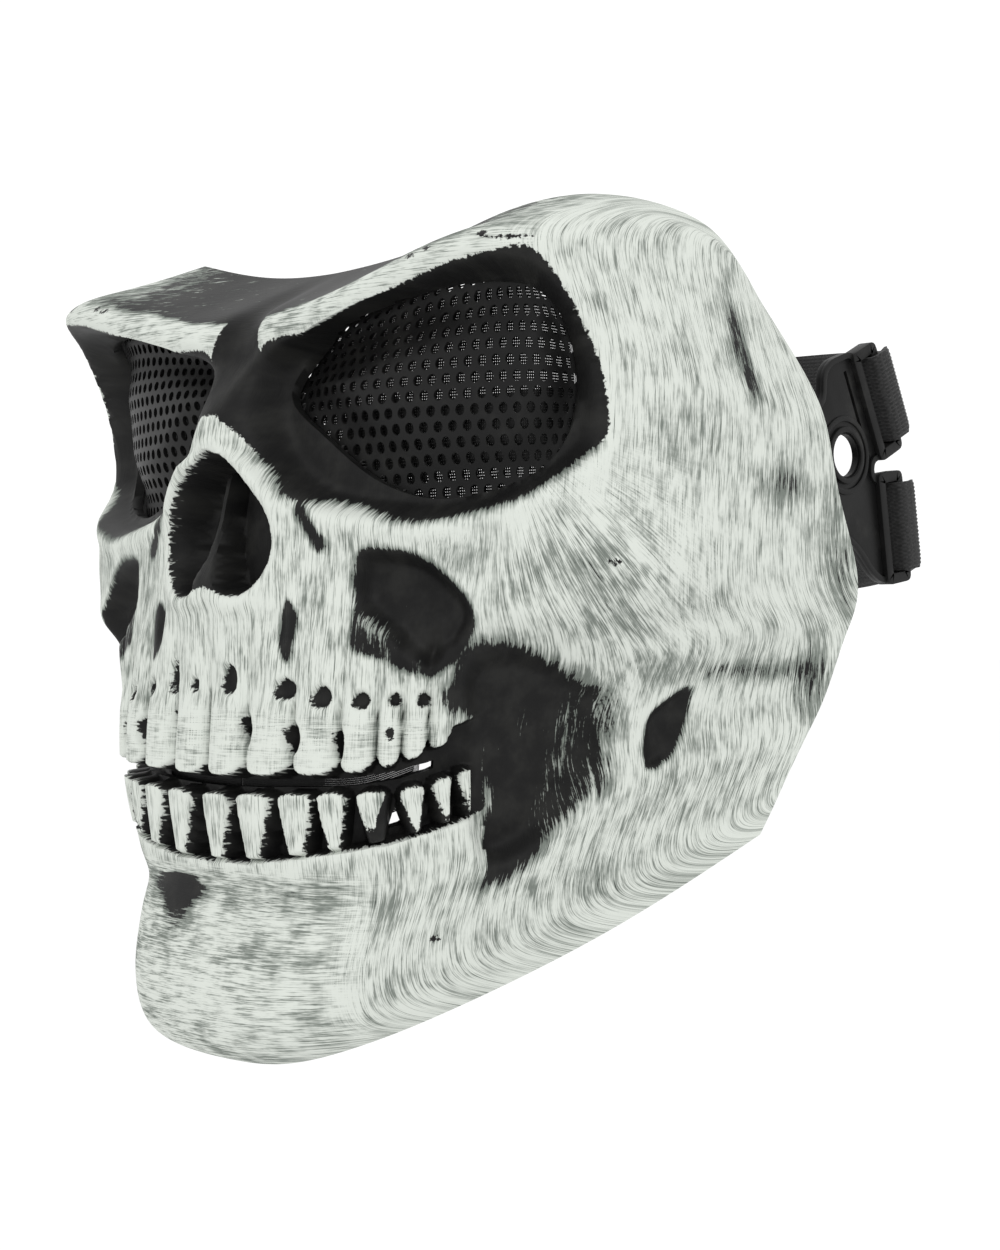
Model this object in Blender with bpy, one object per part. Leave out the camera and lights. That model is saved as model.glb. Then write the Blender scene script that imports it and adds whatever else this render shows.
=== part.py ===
"""Skull mask: a moulded plastic shell with pierced eye plates, strap anchors and elastic straps.

The mask stands as it is worn. It faces -Y, +Z is up and +X is the wearer's left.
Sizes are in millimetres, measured from a point on the middle plane, and turned
into metres round the place where the bridge of the nose sits.
"""
import math

import bmesh
import bpy
import numpy as np
from mathutils import Matrix

MM = 0.001
SEAT = np.array([0.0, -74.0, 50.0])
WALL = 2.3
GAP = 0.35
COLUMNS = 260
ROWS = 210
SHELL_FACES = 6400

# The skin as sections from the lower rim to the upper rim. Each row has six
# points from the middle to the rear edge, each across, back and up.
STATIONS = (0.0, 0.13, 0.30, 0.50, 0.74, 1.0)
SECTIONS = (
    # middle, front, corner, cheek, side, rear edge
    ((0, -80, -90), (14, -78, -89.3), (27, -69, -85.3), (36, -52, -79), (54, -24, -64), (74.5, 4.7, -43)),
    ((0, -90, -85), (14, -89, -84.5), (27, -81.6, -82), (38, -61, -73), (56, -26, -56), (76, 7.5, -37)),
    ((0, -92, -74), (15, -91, -73), (27.6, -85.2, -71), (40, -67, -64), (58, -30, -48), (77.5, 10, -31)),
    ((0, -87, -58), (17, -86, -58), (32, -80, -56), (45, -64, -50), (62, -32, -36), (80, 14, -22)),
    ((0, -87.5, -34), (20, -86, -34), (38, -80, -33), (51, -66, -28), (67, -32, -20), (82.5, 18, -12)),
    ((0, -86.5, -12), (20, -85, -12), (40, -79, -11), (56, -65, -8), (74, -33, -4), (84.5, 22, 0)),
    ((0, -87.5, 8), (20, -83.5, 8), (48, -75, 9), (76, -60, 10), (86, -25, 11), (85.5, 24.7, 14)),
    ((0, -86.5, 24), (20, -82, 24), (50, -74, 25), (78.5, -58, 26), (87, -22, 27), (85, 19.5, 29)),
    ((0, -81, 48), (20, -80, 48), (50, -74, 48), (79, -57, 48), (87, -20, 47), (83.5, 16.5, 45)),
    ((0, -78, 60), (22, -78, 62), (52, -75, 66), (79, -62, 66), (86, -22, 61), (80.5, 9, 60)),
    ((0, -77.5, 66), (24, -78, 66.5), (54, -75.5, 74), (78, -65.5, 75.5), (84, -25, 76), (78, 0.2, 71.3)),
    ((0, -69, 72), (22, -69, 72.6), (50, -64, 80), (75, -54, 84), (79, -25, 84), (77, -4, 77)),
    ((0, -52, 80), (24, -50, 82), (47, -48, 87), (64, -38, 90.4), (73, -18, 87.8), (76, -7.3, 81.2)),
)

# Outlines of hollows on one half: distance round the face from the middle, height.
ORBIT = (
    (7.5, 57), (20, 61.5), (35, 65), (49, 68.4), (62, 71.5), (72, 73), (80, 71), (84, 65), (88, 54),
    (90, 44), (90, 37), (86, 32), (78, 28), (66, 24), (54, 22), (43, 22.5), (32, 24), (23, 26.8),
    (17, 31), (12, 36.5), (7.5, 44), (6, 51),
)
EYE_OPENING = (
    (10.6, 52), (17.2, 59.7), (28.8, 64.2), (40.4, 67), (54, 69), (67.8, 69.2), (81.6, 65.5),
    (86.2, 53.4), (86.2, 46.5), (80.6, 35.5), (65, 28.5), (52.2, 27.3), (36.2, 32.2), (19.8, 43.2),
)
NOSE = (
    (0, 38.5), (4, 37.2), (8.5, 34), (12.5, 30), (15.7, 26), (17.6, 21), (17.6, 16.5), (15.8, 12.4),
    (12.2, 9), (8.4, 8), (4, 9), (0, 10),
)
FOSSA = (
    (38, 6), (37.5, 11), (39.4, 16.6), (45, 17.4), (51, 16.4), (56, 14.3), (60, 11), (63.6, 7.6),
    (65, 4), (63, -0.5), (59.5, -4.4), (55.4, -7), (51.5, -5.4), (46, -1),
)
HOLLOW = (
    (61, -6), (68, -1.2), (77, -1.6), (86, -5), (94, -9.5), (97, -18), (95, -28), (88, -38), (78, -46),
    (67, -48.5), (61.5, -41), (63, -29), (61.5, -17),
)
RAMUS = ((114, -11), (109, -13), (105, -16.5), (104, -21), (104.6, -28), (108, -27), (113, -22), (115, -15))
TOOTH_GAPS = (((31.8, -38.2), (29.8, -42.6), (33.4, -42.2)), ((48.2, -34.6), (46.2, -39.2), (49.6, -38.4)))

# Depths of the floors of the eye hollow, the nose opening and the mouth.
ORBIT_FLOOR = 7.5
NOSE_FLOOR = 9.0
MOUTH_FLOOR = 5.2
# Lip round the eye hollow: height, distance outside the outline, half width.
ORBIT_LIP = (0.9, 1.5, 2.5)
ORBIT_SLOPE = 5.5

# Crests: distance round, height.
BROW_CREST = ((9, 63.5), (20, 66.5), (36, 70.5), (50, 73.5), (62, 75.8), (72, 77), (80, 75.5))
ARCH_CREST = ((66, 4), (76, 3.5), (86, 0.5), (95, -3.5), (103, -4.5), (112, -3), (124, 0), (138, 2))
# Height and half width of each crest.
CREST_SIZES = ((BROW_CREST, 1.5, 3.6), (ARCH_CREST, 1.6, 4.5))
# Soft dents: distance round, height, half width, half height, depth.
DENTS = (
    (0, 69, 5.5, 6.5, 3.4), (118, -19, 22, 9, 1.3), (20.5, 2, 1.6, 5.5, 1.4), (54, 8, 5, 4, 2.0),
)
# Hollows with a floor: outline, depth, width of the slope, how far it spreads past the outline.
HOLLOWS = ((HOLLOW, 5.4, 6.5, 0.0), (FOSSA, 4.6, 4.2, 0.1), (RAMUS, 2.4, 2.6, 0.15))
# Fold over the chin: height, half height, depth, distance round where it ends, its fade.
CHIN_FOLD = (-53, 4, 1.2, 50, 14)

# The bridge of the nose: height, rise, half width.
BRIDGE = ((36, 4.0, 7.5), (40, 5.2, 6.9), (46, 5.6, 6.0), (52, 3.2, 6.0), (59, 0.0, 6.0))
# The rim and dividing wall of the nose opening: height, rim, half width and top of the wall.
SEPTUM = (
    (6, 1.4, 4.6, 1.2), (8, 1.2, 4.6, 1.2), (12, 0.8, 3.4, 0.6), (17, 0.8, 1.7, -1.8),
    (24, 1.7, 1.2, -3.4), (34, 3.2, 1.2, -4.0), (36, 3.6, 1.2, -4.0), (40, 0.0, 1.2, -4.0),
)

# Tooth rows: distance round, upper tips, upper gum, lower tops, lower gum.
BITE = (
    (0, -29.5, -13.0, -32.2, -47.0),
    (12, -29.2, -13.4, -32.0, -46.6),
    (25, -28.7, -14.0, -31.5, -45.0),
    (37, -28.3, -14.4, -30.9, -43.0),
    (45, -26.8, -14.4, -30.5, -41.6),
    (50, -25.9, -14.2, -30.0, -40.4),
    (56, -23.3, -13.8, -28.8, -38.8),
    (61, -21.0, -12.8, -27.0, -37.2),
    (67, -19.0, -12.0, -25.2, -35.6),
)
UPPER_SPLITS = (0.0, 12.0, 25.0, 36.5, 44.5, 49.8, 55.3, 60.5)
# Lower teeth: centre (its own side's sign), half width at the top.
LOWER_TEETH = (
    (-61, 2.4), (-55, 3.0), (-48, 3.6), (-40, 4.2), (-31, 4.4), (-21, 5.0), (-10, 5.2), (2.8, 5.0),
    (14.1, 5.4), (25.7, 5.0), (34.5, 3.9), (43.5, 4.2), (51.8, 3.3), (58.2, 2.8), (63, 2.0),
)
# Pits over and between the upper teeth: distance round (own side's sign), height, half width, half height.
PITS = (
    (7.2, -9.2, 2.0, 3.2), (22.6, -11.0, 2.4, 2.2), (32.2, -12.4, 2.2, 2.4), (41.2, -13.0, 1.8, 1.8),
    (48.2, -12.8, 1.2, 1.4), (54.0, -12.8, 1.4, 1.6), (-4.2, -10.4, 1.2, 1.6), (-13.0, -9.0, 1.4, 3.6),
    (-22.6, -11.0, 2.4, 2.2), (-32.2, -12.4, 2.2, 2.4), (-41.2, -13.0, 1.8, 1.8), (-48.2, -12.8, 1.2, 1.4),
    (12.9, -19.6, 2.0, 3.2), (25.6, -21.0, 2.3, 3.0), (36.6, -22.0, 1.3, 3.0),
    (-11.2, -17.4, 1.2, 2.4), (-25.6, -21.0, 2.3, 3.0), (-36.6, -22.0, 1.3, 3.0),
)

# The anchor plate at one temple, seen from the side: back, up. It lies in one level plane.
PLATE_OUTLINE = (
    (19.6, 51), (19.8, 57.6), (22.4, 60.4), (29.2, 62.8), (32.4, 62), (43, 40), (38.8, 38.9),
    (38.8, 35.6), (42, 35.2), (45.4, 12.6), (42.4, 11.6), (38.6, 13.4), (33, 18.6), (28, 21.4),
    (17, 24.6), (8, 30), (4.4, 38), (8, 45.4), (14.5, 49),
)
PLATE_FACE = 80.2
PLATE_THICK = 2.2
PLATE_EYE = (28.6, 39.8, 4.7)
RIVET_AT = (10.0, 38.0)
# Loop frames: foot of the front bar (back, up), lean of the bar in degrees, length, depth.
LOOPS = {"upper": (41.0, 38.9, 26.0, 25.8, 9.2), "lower": (43.5, 11.2, 9.0, 25.4, 9.2)}
FRAME_THICK = 3.4
BAR = 2.4
STRAP_WIDE = 20.0
STRAP_THICK = 1.4
# Middle of each strap behind the head: back, up.
STRAP_BACK = {"upper": (98.0, 64.0), "lower": (104.0, 21.0)}
EYE_PITCH = 8.0
EYE_HOLE = 2.8
EYE_PLATE_THICK = 1.1
EYE_FLANGE = 4.2
# Front of the eye plate behind the smooth skin, how far its middle bulges and over what reach.
EYE_PLATE_FRONT = ORBIT_FLOOR + WALL + 0.95
EYE_DOME = 3.4
EYE_DOME_REACH = 13.0


def spline(knots, values, at):
    """A natural cubic curve through the values, read at the given places."""
    knots = np.asarray(knots, float)
    values = np.asarray(values, float)
    at = np.asarray(at, float)
    count = len(knots)
    step = np.diff(knots)
    system = np.eye(count)
    right = np.zeros((count, values.shape[1]))
    slope = np.diff(values, axis=0) / step[:, None]
    for i in range(1, count - 1):
        system[i, i - 1:i + 2] = (step[i - 1], 2 * (step[i - 1] + step[i]), step[i])
        right[i] = 6 * (slope[i] - slope[i - 1])
    bend = np.linalg.solve(system, right)
    i = np.clip(np.searchsorted(knots, at, side="right") - 1, 0, count - 2)
    h = step[i][:, None]
    a = (knots[i + 1] - at)[:, None] / h
    b = 1 - a
    curve = ((a ** 3 - a) * bend[i] + (b ** 3 - b) * bend[i + 1]) * h * h / 6
    return a * values[i] + b * values[i + 1] + curve


def whole_net():
    """The section points of both halves, with their places across and up."""
    half = np.array(SECTIONS, float)
    other = half[:, :0:-1] * (-1, 1, 1)
    net = np.concatenate([other, half], axis=1)
    across = np.array([-u for u in STATIONS[:0:-1]] + list(STATIONS))
    gaps = np.linalg.norm(np.diff(half[:, 2:4].mean(axis=1), axis=0), axis=1)
    up = np.concatenate([[0.0], np.cumsum(gaps)])
    return across, up / up[-1], net


ACROSS, UP, NET = whole_net()


def skin(u, v):
    """Points of the smooth skin at matching places u across and v up."""
    weight_u = spline(ACROSS, np.eye(len(ACROSS)), u)
    weight_v = spline(UP, np.eye(len(UP)), v)
    return np.einsum("na,nb,bac->nc", weight_u, weight_v, NET)


def skin_normal(u, v):
    """Outward directions of the smooth skin."""
    e = 1e-3
    along_u = skin(np.clip(u + e, -1, 1), v) - skin(np.clip(u - e, -1, 1), v)
    along_v = skin(u, np.clip(v + e, 0, 1)) - skin(u, np.clip(v - e, 0, 1))
    normal = np.cross(along_u, along_v)
    return normal / np.linalg.norm(normal, axis=1, keepdims=True)


def ring(points, count=96):
    """A smooth closed outline through a short table of points."""
    table = np.array(points, float)
    wide = np.concatenate([table[-4:], table, table[:4]])
    length = np.concatenate([[0.0], np.cumsum(np.linalg.norm(np.diff(wide, axis=0), axis=1))])
    at = np.linspace(length[4], length[4 + len(table)], count, endpoint=False)
    return spline(length, wide, at)


def beyond(outline, a, z):
    """How far each place lies outside an outline, negative inside."""
    start = outline
    end = np.roll(outline, -1, axis=0)
    best = np.full(a.shape, 1e9)
    inside = np.zeros(a.shape, bool)
    for (ax, az), (bx, bz) in zip(start, end):
        dx, dz = bx - ax, bz - az
        t = np.clip(((a - ax) * dx + (z - az) * dz) / (dx * dx + dz * dz), 0, 1)
        best = np.minimum(best, np.hypot(a - ax - t * dx, z - az - t * dz))
        cross = (az > z) != (bz > z)
        if az != bz:
            inside ^= cross & (a < ax + (z - az) * dx / dz)
    return np.where(inside, -best, best)


def from_line(points, a, z):
    """Distance of each place from an open line."""
    table = np.array(points, float)
    best = np.full(a.shape, 1e9)
    for (ax, az), (bx, bz) in zip(table[:-1], table[1:]):
        dx, dz = bx - ax, bz - az
        t = np.clip(((a - ax) * dx + (z - az) * dz) / (dx * dx + dz * dz), 0, 1)
        best = np.minimum(best, np.hypot(a - ax - t * dx, z - az - t * dz))
    return best


def ease(x):
    """A soft step from 0 at nought to 1 at one."""
    x = np.clip(x, 0, 1)
    return x * x * (3 - 2 * x)


def bump(x):
    return np.exp(-x * x)


def columns_at(table, at):
    """Every further column of a table, read at places in its first column."""
    rows = np.array(table, float)
    return [np.interp(at, rows[:, 0], column) for column in rows.T[1:]]


def nose_relief(a, z, d):
    """The bony nose: its ridge, raised rim, deep opening and dividing wall."""
    rise, width = columns_at(BRIDGE, z)
    d = d + rise * bump(a / width) * ease((z - 35) / 6)
    rim, half, top = columns_at(SEPTUM, z)
    gone = beyond(ring_half(NOSE), a, z)
    d = d + rim * bump((gone - 1.4) / 2.2)
    d = d + (-NOSE_FLOOR - d) * ease(-gone / 1.8)
    wall = (top + NOSE_FLOOR) * ease((half + 0.8 - a) / 1.2) * ease((36.5 - z) / 3) - NOSE_FLOOR
    return np.where(gone < 0.5, np.maximum(d, wall), d)


def ring_half(points):
    """A symmetric outline from its right half, smooth over the middle."""
    table = np.array(points, float)
    left = table[-2:0:-1] * (-1, 1)
    return ring(np.concatenate([table, left]))


def tooth_relief(s, a, z, d):
    """Both tooth rows: rounded upper crowns with roots, tapered lower pegs."""
    tips, gum, tops, low = columns_at(BITE, a)
    splits = np.array(UPPER_SPLITS)
    k = np.clip(np.searchsorted(splits, a, side="right") - 1, 0, len(splits) - 2)
    half = (splits[k + 1] - splits[k]) / 2
    q = np.minimum(np.abs(a - splits[k] - half) / half, 1)
    crown = -1.7 + 3.1 * np.clip(1 - q ** 2.6, 0, 1) ** 0.7
    root = 1.3 * (1 - q ** 2) - 0.5
    over = ease((z - gum + 3) / 6)
    shape = crown * (1 - over) + root * over * ease((9 - z) / 14)
    d = d + shape * ease((60.5 - a) / 2) * ease((z - tips + 3) / 2)
    edge = tips + 2.7 * q ** 3.2
    mouth = ease((edge - z) / 1.2 + 0.5) * ease((z - low) / 1.4 + 0.5) * ease((69.5 - a) / 6)
    d = d + (-MOUTH_FLOOR - d) * mouth
    for centre, wide in LOWER_TEETH:
        t = np.clip((tops - z) / (tops - low), 0, 1)
        reach = wide * (1 - 0.52 * t ** 1.25)
        q = np.clip(np.abs(s - centre) / reach, 0, 1)
        peg = ease((reach - np.abs(s - centre)) / 1.1 + 0.35) * ease(tops - 1.5 * q ** 3 - z + 0.2)
        peg = np.where(z > low - 2, peg, 0)
        raised = (MOUTH_FLOOR + 0.7 - 1.3 * q ** 2) * peg * mouth - MOUTH_FLOOR
        d = np.where(mouth > 0, np.maximum(d, raised), d)
    for where, height, wide, tall in PITS:
        r = np.hypot((s - where) / wide, (z - height) / tall)
        d = d - 1.7 * ease((1.25 - r) / 0.6)
    return d


def relief(s, z):
    """How far the moulded surface stands out from the smooth skin."""
    a = np.abs(s)
    d = np.zeros_like(a)
    for crest, height, half in CREST_SIZES:
        d = d + height * bump(from_line(crest, a, z) / half)
    for where, height, wide, tall, depth in DENTS:
        d = d - depth * bump(np.hypot((a - where) / wide, (z - height) / tall))
    fold, tall, depth, reach, fade = CHIN_FOLD
    d = d - depth * bump((z - fold) / tall) * ease((reach - a) / fade)
    for outline, depth, slope, spread in HOLLOWS:
        d = d - depth * ease(spread - beyond(ring(outline), a, z) / slope)
    orbit = beyond(ring(ORBIT), a, z)
    height, outside, half = ORBIT_LIP
    d = d + height * bump((orbit - outside) / half)
    floor = np.maximum(beyond(ring(EYE_OPENING), a, z), 0)
    slope = np.minimum(ORBIT_SLOPE, 0.9 * (np.maximum(-orbit, 0) + floor) + 0.3)
    d = d + (-ORBIT_FLOOR - d) * ease(-orbit / slope)
    d = nose_relief(a, z, d)
    return tooth_relief(s, a, z, d)


def openings(s, z):
    """Distance outside the nearest opening cut through the shell, negative inside it."""
    a = np.abs(s)
    eye = beyond(ring(EYE_OPENING), a, z)
    tips, gum, tops, low = columns_at(BITE, a)
    middle = np.minimum((tips + tops) / 2 - 0.1, tops + 2.2)
    slot = np.maximum(np.abs(z - middle) - 0.85, a - 57.5)
    best = np.minimum(eye, slot)
    for corners in TOOTH_GAPS:
        best = np.minimum(best, beyond(np.array(corners, float), a, z))
    return best


def lift(u, v):
    """Skin points and their level outward directions."""
    level = skin_normal(u, v) * (1, 1, 0)
    return skin(u, v), level / np.linalg.norm(level, axis=1, keepdims=True)


def grid(columns, rows):
    """Matching places over the face, with distances round and cells packed at the teeth."""
    u = np.linspace(-1, 1, columns + 1)
    even = np.linspace(0, 1, rows + 1)
    table_v = np.linspace(0, 1, 401)
    dense = 1 + 1.3 * bump((table_v - 0.31) / 0.075)
    total = np.concatenate([[0.0], np.cumsum((dense[1:] + dense[:-1]) / 2)])
    v = np.interp(even * total[-1], total, table_v)
    uu, vv = np.meshgrid(u, v)
    return uu, vv


def rounds(uu, vv):
    """Distance round the face from the middle, along each row."""
    shape = uu.shape
    point = skin(uu.ravel(), vv.ravel()).reshape(shape + (3,))
    run = np.linalg.norm(np.diff(point, axis=1), axis=2)
    s = np.concatenate([np.zeros((shape[0], 1)), np.cumsum(run, axis=1)], axis=1)
    return s - s[:, [shape[1] // 2]], point


def snap(uu, vv):
    """Slides the cells beside an opening on to its edge."""
    s, point = rounds(uu, vv)
    far = openings(s, point[..., 2])
    pick = np.zeros(far.shape, bool)
    for axis in (0, 1):
        one = np.take(far, range(far.shape[axis] - 1), axis=axis)
        two = np.take(far, range(1, far.shape[axis]), axis=axis)
        crossing = (one < 0) != (two < 0)
        first = crossing & (np.abs(one) <= np.abs(two))
        second = crossing & ~first
        if axis == 0:
            pick[:-1] |= first
            pick[1:] |= second
        else:
            pick[:, :-1] |= first
            pick[:, 1:] |= second
    slope_v, slope_u = np.gradient(far)
    size = np.maximum(slope_u ** 2 + slope_v ** 2, 1e-9)
    step_u = np.clip(-far * slope_u / size, -0.5, 0.5) * pick
    step_v = np.clip(-far * slope_v / size, -0.5, 0.5) * pick
    du = np.gradient(uu, axis=1)
    dv = np.gradient(vv, axis=0)
    ds = np.gradient(s, axis=1)
    new_u = np.clip(uu + step_u * du, -1, 1)
    new_v = np.clip(vv + step_v * dv, 0, 1)
    side = np.where(pick, 0, np.sign(far)).astype(int)
    return new_u, new_v, s + step_u * ds, side


def soften(field, reach):
    """The lowest value near each cell, then blurred over the same reach."""
    low = field.copy()
    for axis in (0, 1):
        stack = [low]
        for k in range(1, reach + 1):
            pad = [(k, k) if i == axis else (0, 0) for i in (0, 1)]
            wide = np.pad(low, pad, mode="edge")
            size = low.shape[axis]
            stack.append(np.take(wide, range(0, size), axis=axis))
            stack.append(np.take(wide, range(2 * k, 2 * k + size), axis=axis))
        low = np.minimum.reduce(stack)
    for axis in (0, 1):
        for _ in range(reach):
            pad = [(1, 1) if i == axis else (0, 0) for i in (0, 1)]
            wide = np.pad(low, pad, mode="edge")
            size = low.shape[axis]
            before = np.take(wide, range(0, size), axis=axis)
            after = np.take(wide, range(2, 2 + size), axis=axis)
            low = (before + low + after) / 3
    return low


def shell_parts(columns, rows, reach):
    """Outer and inner points of the shell and the cells that are kept."""
    uu, vv = grid(columns, rows)
    uu, vv, s, side = snap(uu, vv)
    shape = uu.shape
    point, level = lift(uu.ravel(), vv.ravel())
    normal = skin_normal(uu.ravel(), vv.ravel())
    z = point[:, 2].reshape(shape)
    out = relief(s, z)
    back = soften(out, reach)
    outer = point + level * out.ravel()[:, None]
    inner = point + level * back.ravel()[:, None] - normal * WALL
    return outer, inner, side


def kept_cells(side):
    """Corner lists of the cells outside every opening."""
    rows, columns = side.shape
    cells = []
    index = np.arange(rows * columns).reshape(rows, columns)
    for i in range(rows - 1):
        for j in range(columns - 1):
            corners = (index[i, j], index[i, j + 1], index[i + 1, j + 1], index[i + 1, j])
            marks = (side[i, j], side[i, j + 1], side[i + 1, j + 1], side[i + 1, j])
            if min(marks) >= 0 and max(marks) > 0:
                cells.append(corners)
            elif max(marks) > 0:
                kept = [c for c, m in zip(corners, marks) if m >= 0]
                if len(kept) == 3:
                    cells.append(tuple(kept))
    return cells


def new_object(name, points, faces, material):
    """A named mesh object from points in millimetres."""
    mesh = bpy.data.meshes.new(name)
    metres = (np.asarray(points, float) - SEAT) * MM
    mesh.from_pydata([tuple(p) for p in metres], [], [tuple(int(i) for i in f) for f in faces])
    obj = bpy.data.objects.new(name, mesh)
    bpy.context.collection.objects.link(obj)
    mesh.materials.append(material)
    tidy = bmesh.new()
    tidy.from_mesh(mesh)
    bmesh.ops.delete(tidy, geom=[v for v in tidy.verts if not v.link_faces], context="VERTS")
    bmesh.ops.recalc_face_normals(tidy, faces=tidy.faces)
    tidy.to_mesh(mesh)
    tidy.free()
    return obj


def closed_from_skin(outer, inner, cells):
    """Closes an outer and an inner sheet of the same cells with side walls."""
    count = len(outer)
    points = np.concatenate([outer, inner])
    faces = [tuple(c) for c in cells]
    faces += [tuple(i + count for i in reversed(c)) for c in cells]
    seen = {}
    for cell in cells:
        for a, b in zip(cell, cell[1:] + cell[:1]):
            seen[(a, b)] = True
    for a, b in seen:
        if (b, a) not in seen:
            faces.append((b, a, a + count, b + count))
    return points, faces


def material(name, colour, roughness, metallic):
    made = bpy.data.materials.new(name)
    made.use_nodes = True
    shader = made.node_tree.nodes["Principled BSDF"]
    shader.inputs["Base Color"].default_value = (*colour, 1)
    shader.inputs["Roughness"].default_value = roughness
    shader.inputs["Metallic"].default_value = metallic
    made.diffuse_color = (*colour, 1)
    return made


def apply_modifiers(obj):
    """Bakes the modifiers of an object into its mesh."""
    graph = bpy.context.evaluated_depsgraph_get()
    baked = bpy.data.meshes.new_from_object(obj.evaluated_get(graph))
    obj.modifiers.clear()
    obj.data = baked


def combine(obj, other, operation):
    """Joins or cuts one object with another, which is then removed."""
    change = obj.modifiers.new(operation.lower(), "BOOLEAN")
    change.operation = operation
    change.solver = "EXACT"
    change.object = other
    other.display_type = "WIRE"
    other.hide_render = True
    bpy.context.view_layer.update()
    apply_modifiers(obj)
    bpy.data.objects.remove(other)


def prism(name, outline, low, high, made):
    """A flat outline in the back and up directions, thick along X."""
    count = len(outline)
    points = [(low, y, z) for y, z in outline] + [(high, y, z) for y, z in outline]
    faces = [tuple(range(count - 1, -1, -1)), tuple(range(count, 2 * count))]
    for i in range(count):
        j = (i + 1) % count
        faces.append((i, j, j + count, i + count))
    return new_object(name, points, faces, made)


def disc(centre_y, centre_z, radius, sides=28):
    turn = [2 * math.pi * i / sides for i in range(sides)]
    return [(centre_y + radius * math.cos(t), centre_z + radius * math.sin(t)) for t in turn]


def loop_axes(loop):
    """Foot, rearward direction and bar direction of a loop frame."""
    y, z, lean, length, depth = LOOPS[loop]
    t = math.radians(lean)
    return np.array([y, z]), np.array([math.cos(t), math.sin(t)]), np.array([-math.sin(t), math.cos(t)])


def loop_box(loop, near, far, low, high):
    """A rectangle in a loop's own directions: rearward near to far, along the bar low to high."""
    foot, rear, bar = loop_axes(loop)
    corners = ((near, low), (far, low), (far, high), (near, high))
    return [tuple(foot + rear * r + bar * b) for r, b in corners]


def mirrored(obj, name):
    """The same piece on the other side."""
    mesh = obj.data.copy()
    mesh.transform(Matrix.Diagonal((-1, 1, 1, 1)))
    mesh.flip_normals()
    twin = bpy.data.objects.new(name, mesh)
    bpy.context.collection.objects.link(twin)
    return twin


def build_shell(bone):
    outer, inner, side = shell_parts(COLUMNS, ROWS, 2)
    points, faces = closed_from_skin(outer, inner, kept_cells(side))
    shell = new_object("mask_shell", points, faces, bone)
    total = sum(len(f.vertices) - 2 for f in shell.data.polygons)
    thin = shell.modifiers.new("fewer_faces", "DECIMATE")
    thin.ratio = SHELL_FACES / total
    bpy.context.view_layer.update()
    apply_modifiers(shell)
    return shell


def plate_depth(far):
    """Level depth of the eye plate's front, domed toward the middle."""
    return EYE_DOME * ease((-1.0 - far) / EYE_DOME_REACH) - EYE_PLATE_FRONT


def eye_place(u, v):
    """Skin points near one eye, their level directions and their distance outside the opening."""
    whole = np.linspace(0, 0.62, 187)
    wide, tall = np.meshgrid(whole, v)
    line = skin(wide.ravel(), tall.ravel()).reshape(wide.shape + (3,))
    run = np.linalg.norm(np.diff(line, axis=1), axis=2)
    run = np.concatenate([np.zeros((len(run), 1)), np.cumsum(run, axis=1)], axis=1)
    s = np.array([np.interp(x, whole, r) for x, r in zip(u, run)])
    point, level = lift(u, v)
    return point, level, beyond(ring(EYE_OPENING), s, point[:, 2])


def honeycomb():
    """Six-sided cells over the eye: corner places, cell corner lists and cell centres."""
    places, cells, centres = {}, [], []
    reach = EYE_PITCH / math.sqrt(3)
    for row in range(10):
        for column in range(12):
            across = EYE_PITCH * (column + 0.5 * (row % 2)) + 6.0
            up = reach * 1.5 * row
            centres.append((across, up))
            corners = []
            for k in range(6):
                t = math.radians(60 * k + 30)
                spot = (round(across + reach * math.cos(t), 1), round(up + reach * math.sin(t), 1))
                corners.append(places.setdefault(spot, len(places)))
            cells.append(corners)
    return np.array(list(places)), cells, np.array(centres)


def eye_uv(flat):
    """Places over the face of flat points in millimetres beside the eye."""
    return flat[:, 0] / 172.0, 0.582 + flat[:, 1] / 186.0


def build_eye(steel):
    """A domed plate behind the eye opening, pierced by six-sided holes."""
    corners, cells, centres = honeycomb()
    far = eye_place(*eye_uv(centres))[2]
    kept = [i for i in range(len(cells)) if far[i] < EYE_FLANGE - 2.0]
    uses = {}
    for i in kept:
        cell = cells[i]
        for a, b in zip(cell, cell[1:] + cell[:1]):
            uses[(min(a, b), max(a, b))] = uses.get((min(a, b), max(a, b)), 0) + 1
    border = sorted({corner for edge, count in uses.items() if count == 1 for corner in edge})
    for _ in range(6):
        edge = corners[border]
        here = eye_place(*eye_uv(edge))[2] - EYE_FLANGE
        slope = np.stack([eye_place(*eye_uv(edge + step))[2] - EYE_FLANGE - here
                          for step in ((0.2, 0), (0, 0.2))], axis=1) / 0.2
        size = np.maximum((slope ** 2).sum(axis=1), 0.2)
        corners[border] = edge - (here / size)[:, None] * slope * 0.8
    flat = list(corners)
    faces = []
    for i in kept:
        cell = cells[i]
        if far[i] > -EYE_HOLE + 0.4:
            faces.append(tuple(cell))
            continue
        first = len(flat)
        for k in range(6):
            t = math.radians(60 * k + 30)
            flat.append(centres[i] + EYE_HOLE * np.array((math.cos(t), math.sin(t))))
        for k in range(6):
            j = (k + 1) % 6
            faces.append((cell[k], cell[j], first + j, first + k))
    point, level, far = eye_place(*eye_uv(np.array(flat)))
    front = point + level * plate_depth(far)[:, None]
    points, faces = closed_from_skin(front, front - level * EYE_PLATE_THICK, faces)
    return new_object("eye_mesh_left", points, faces, steel)


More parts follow.
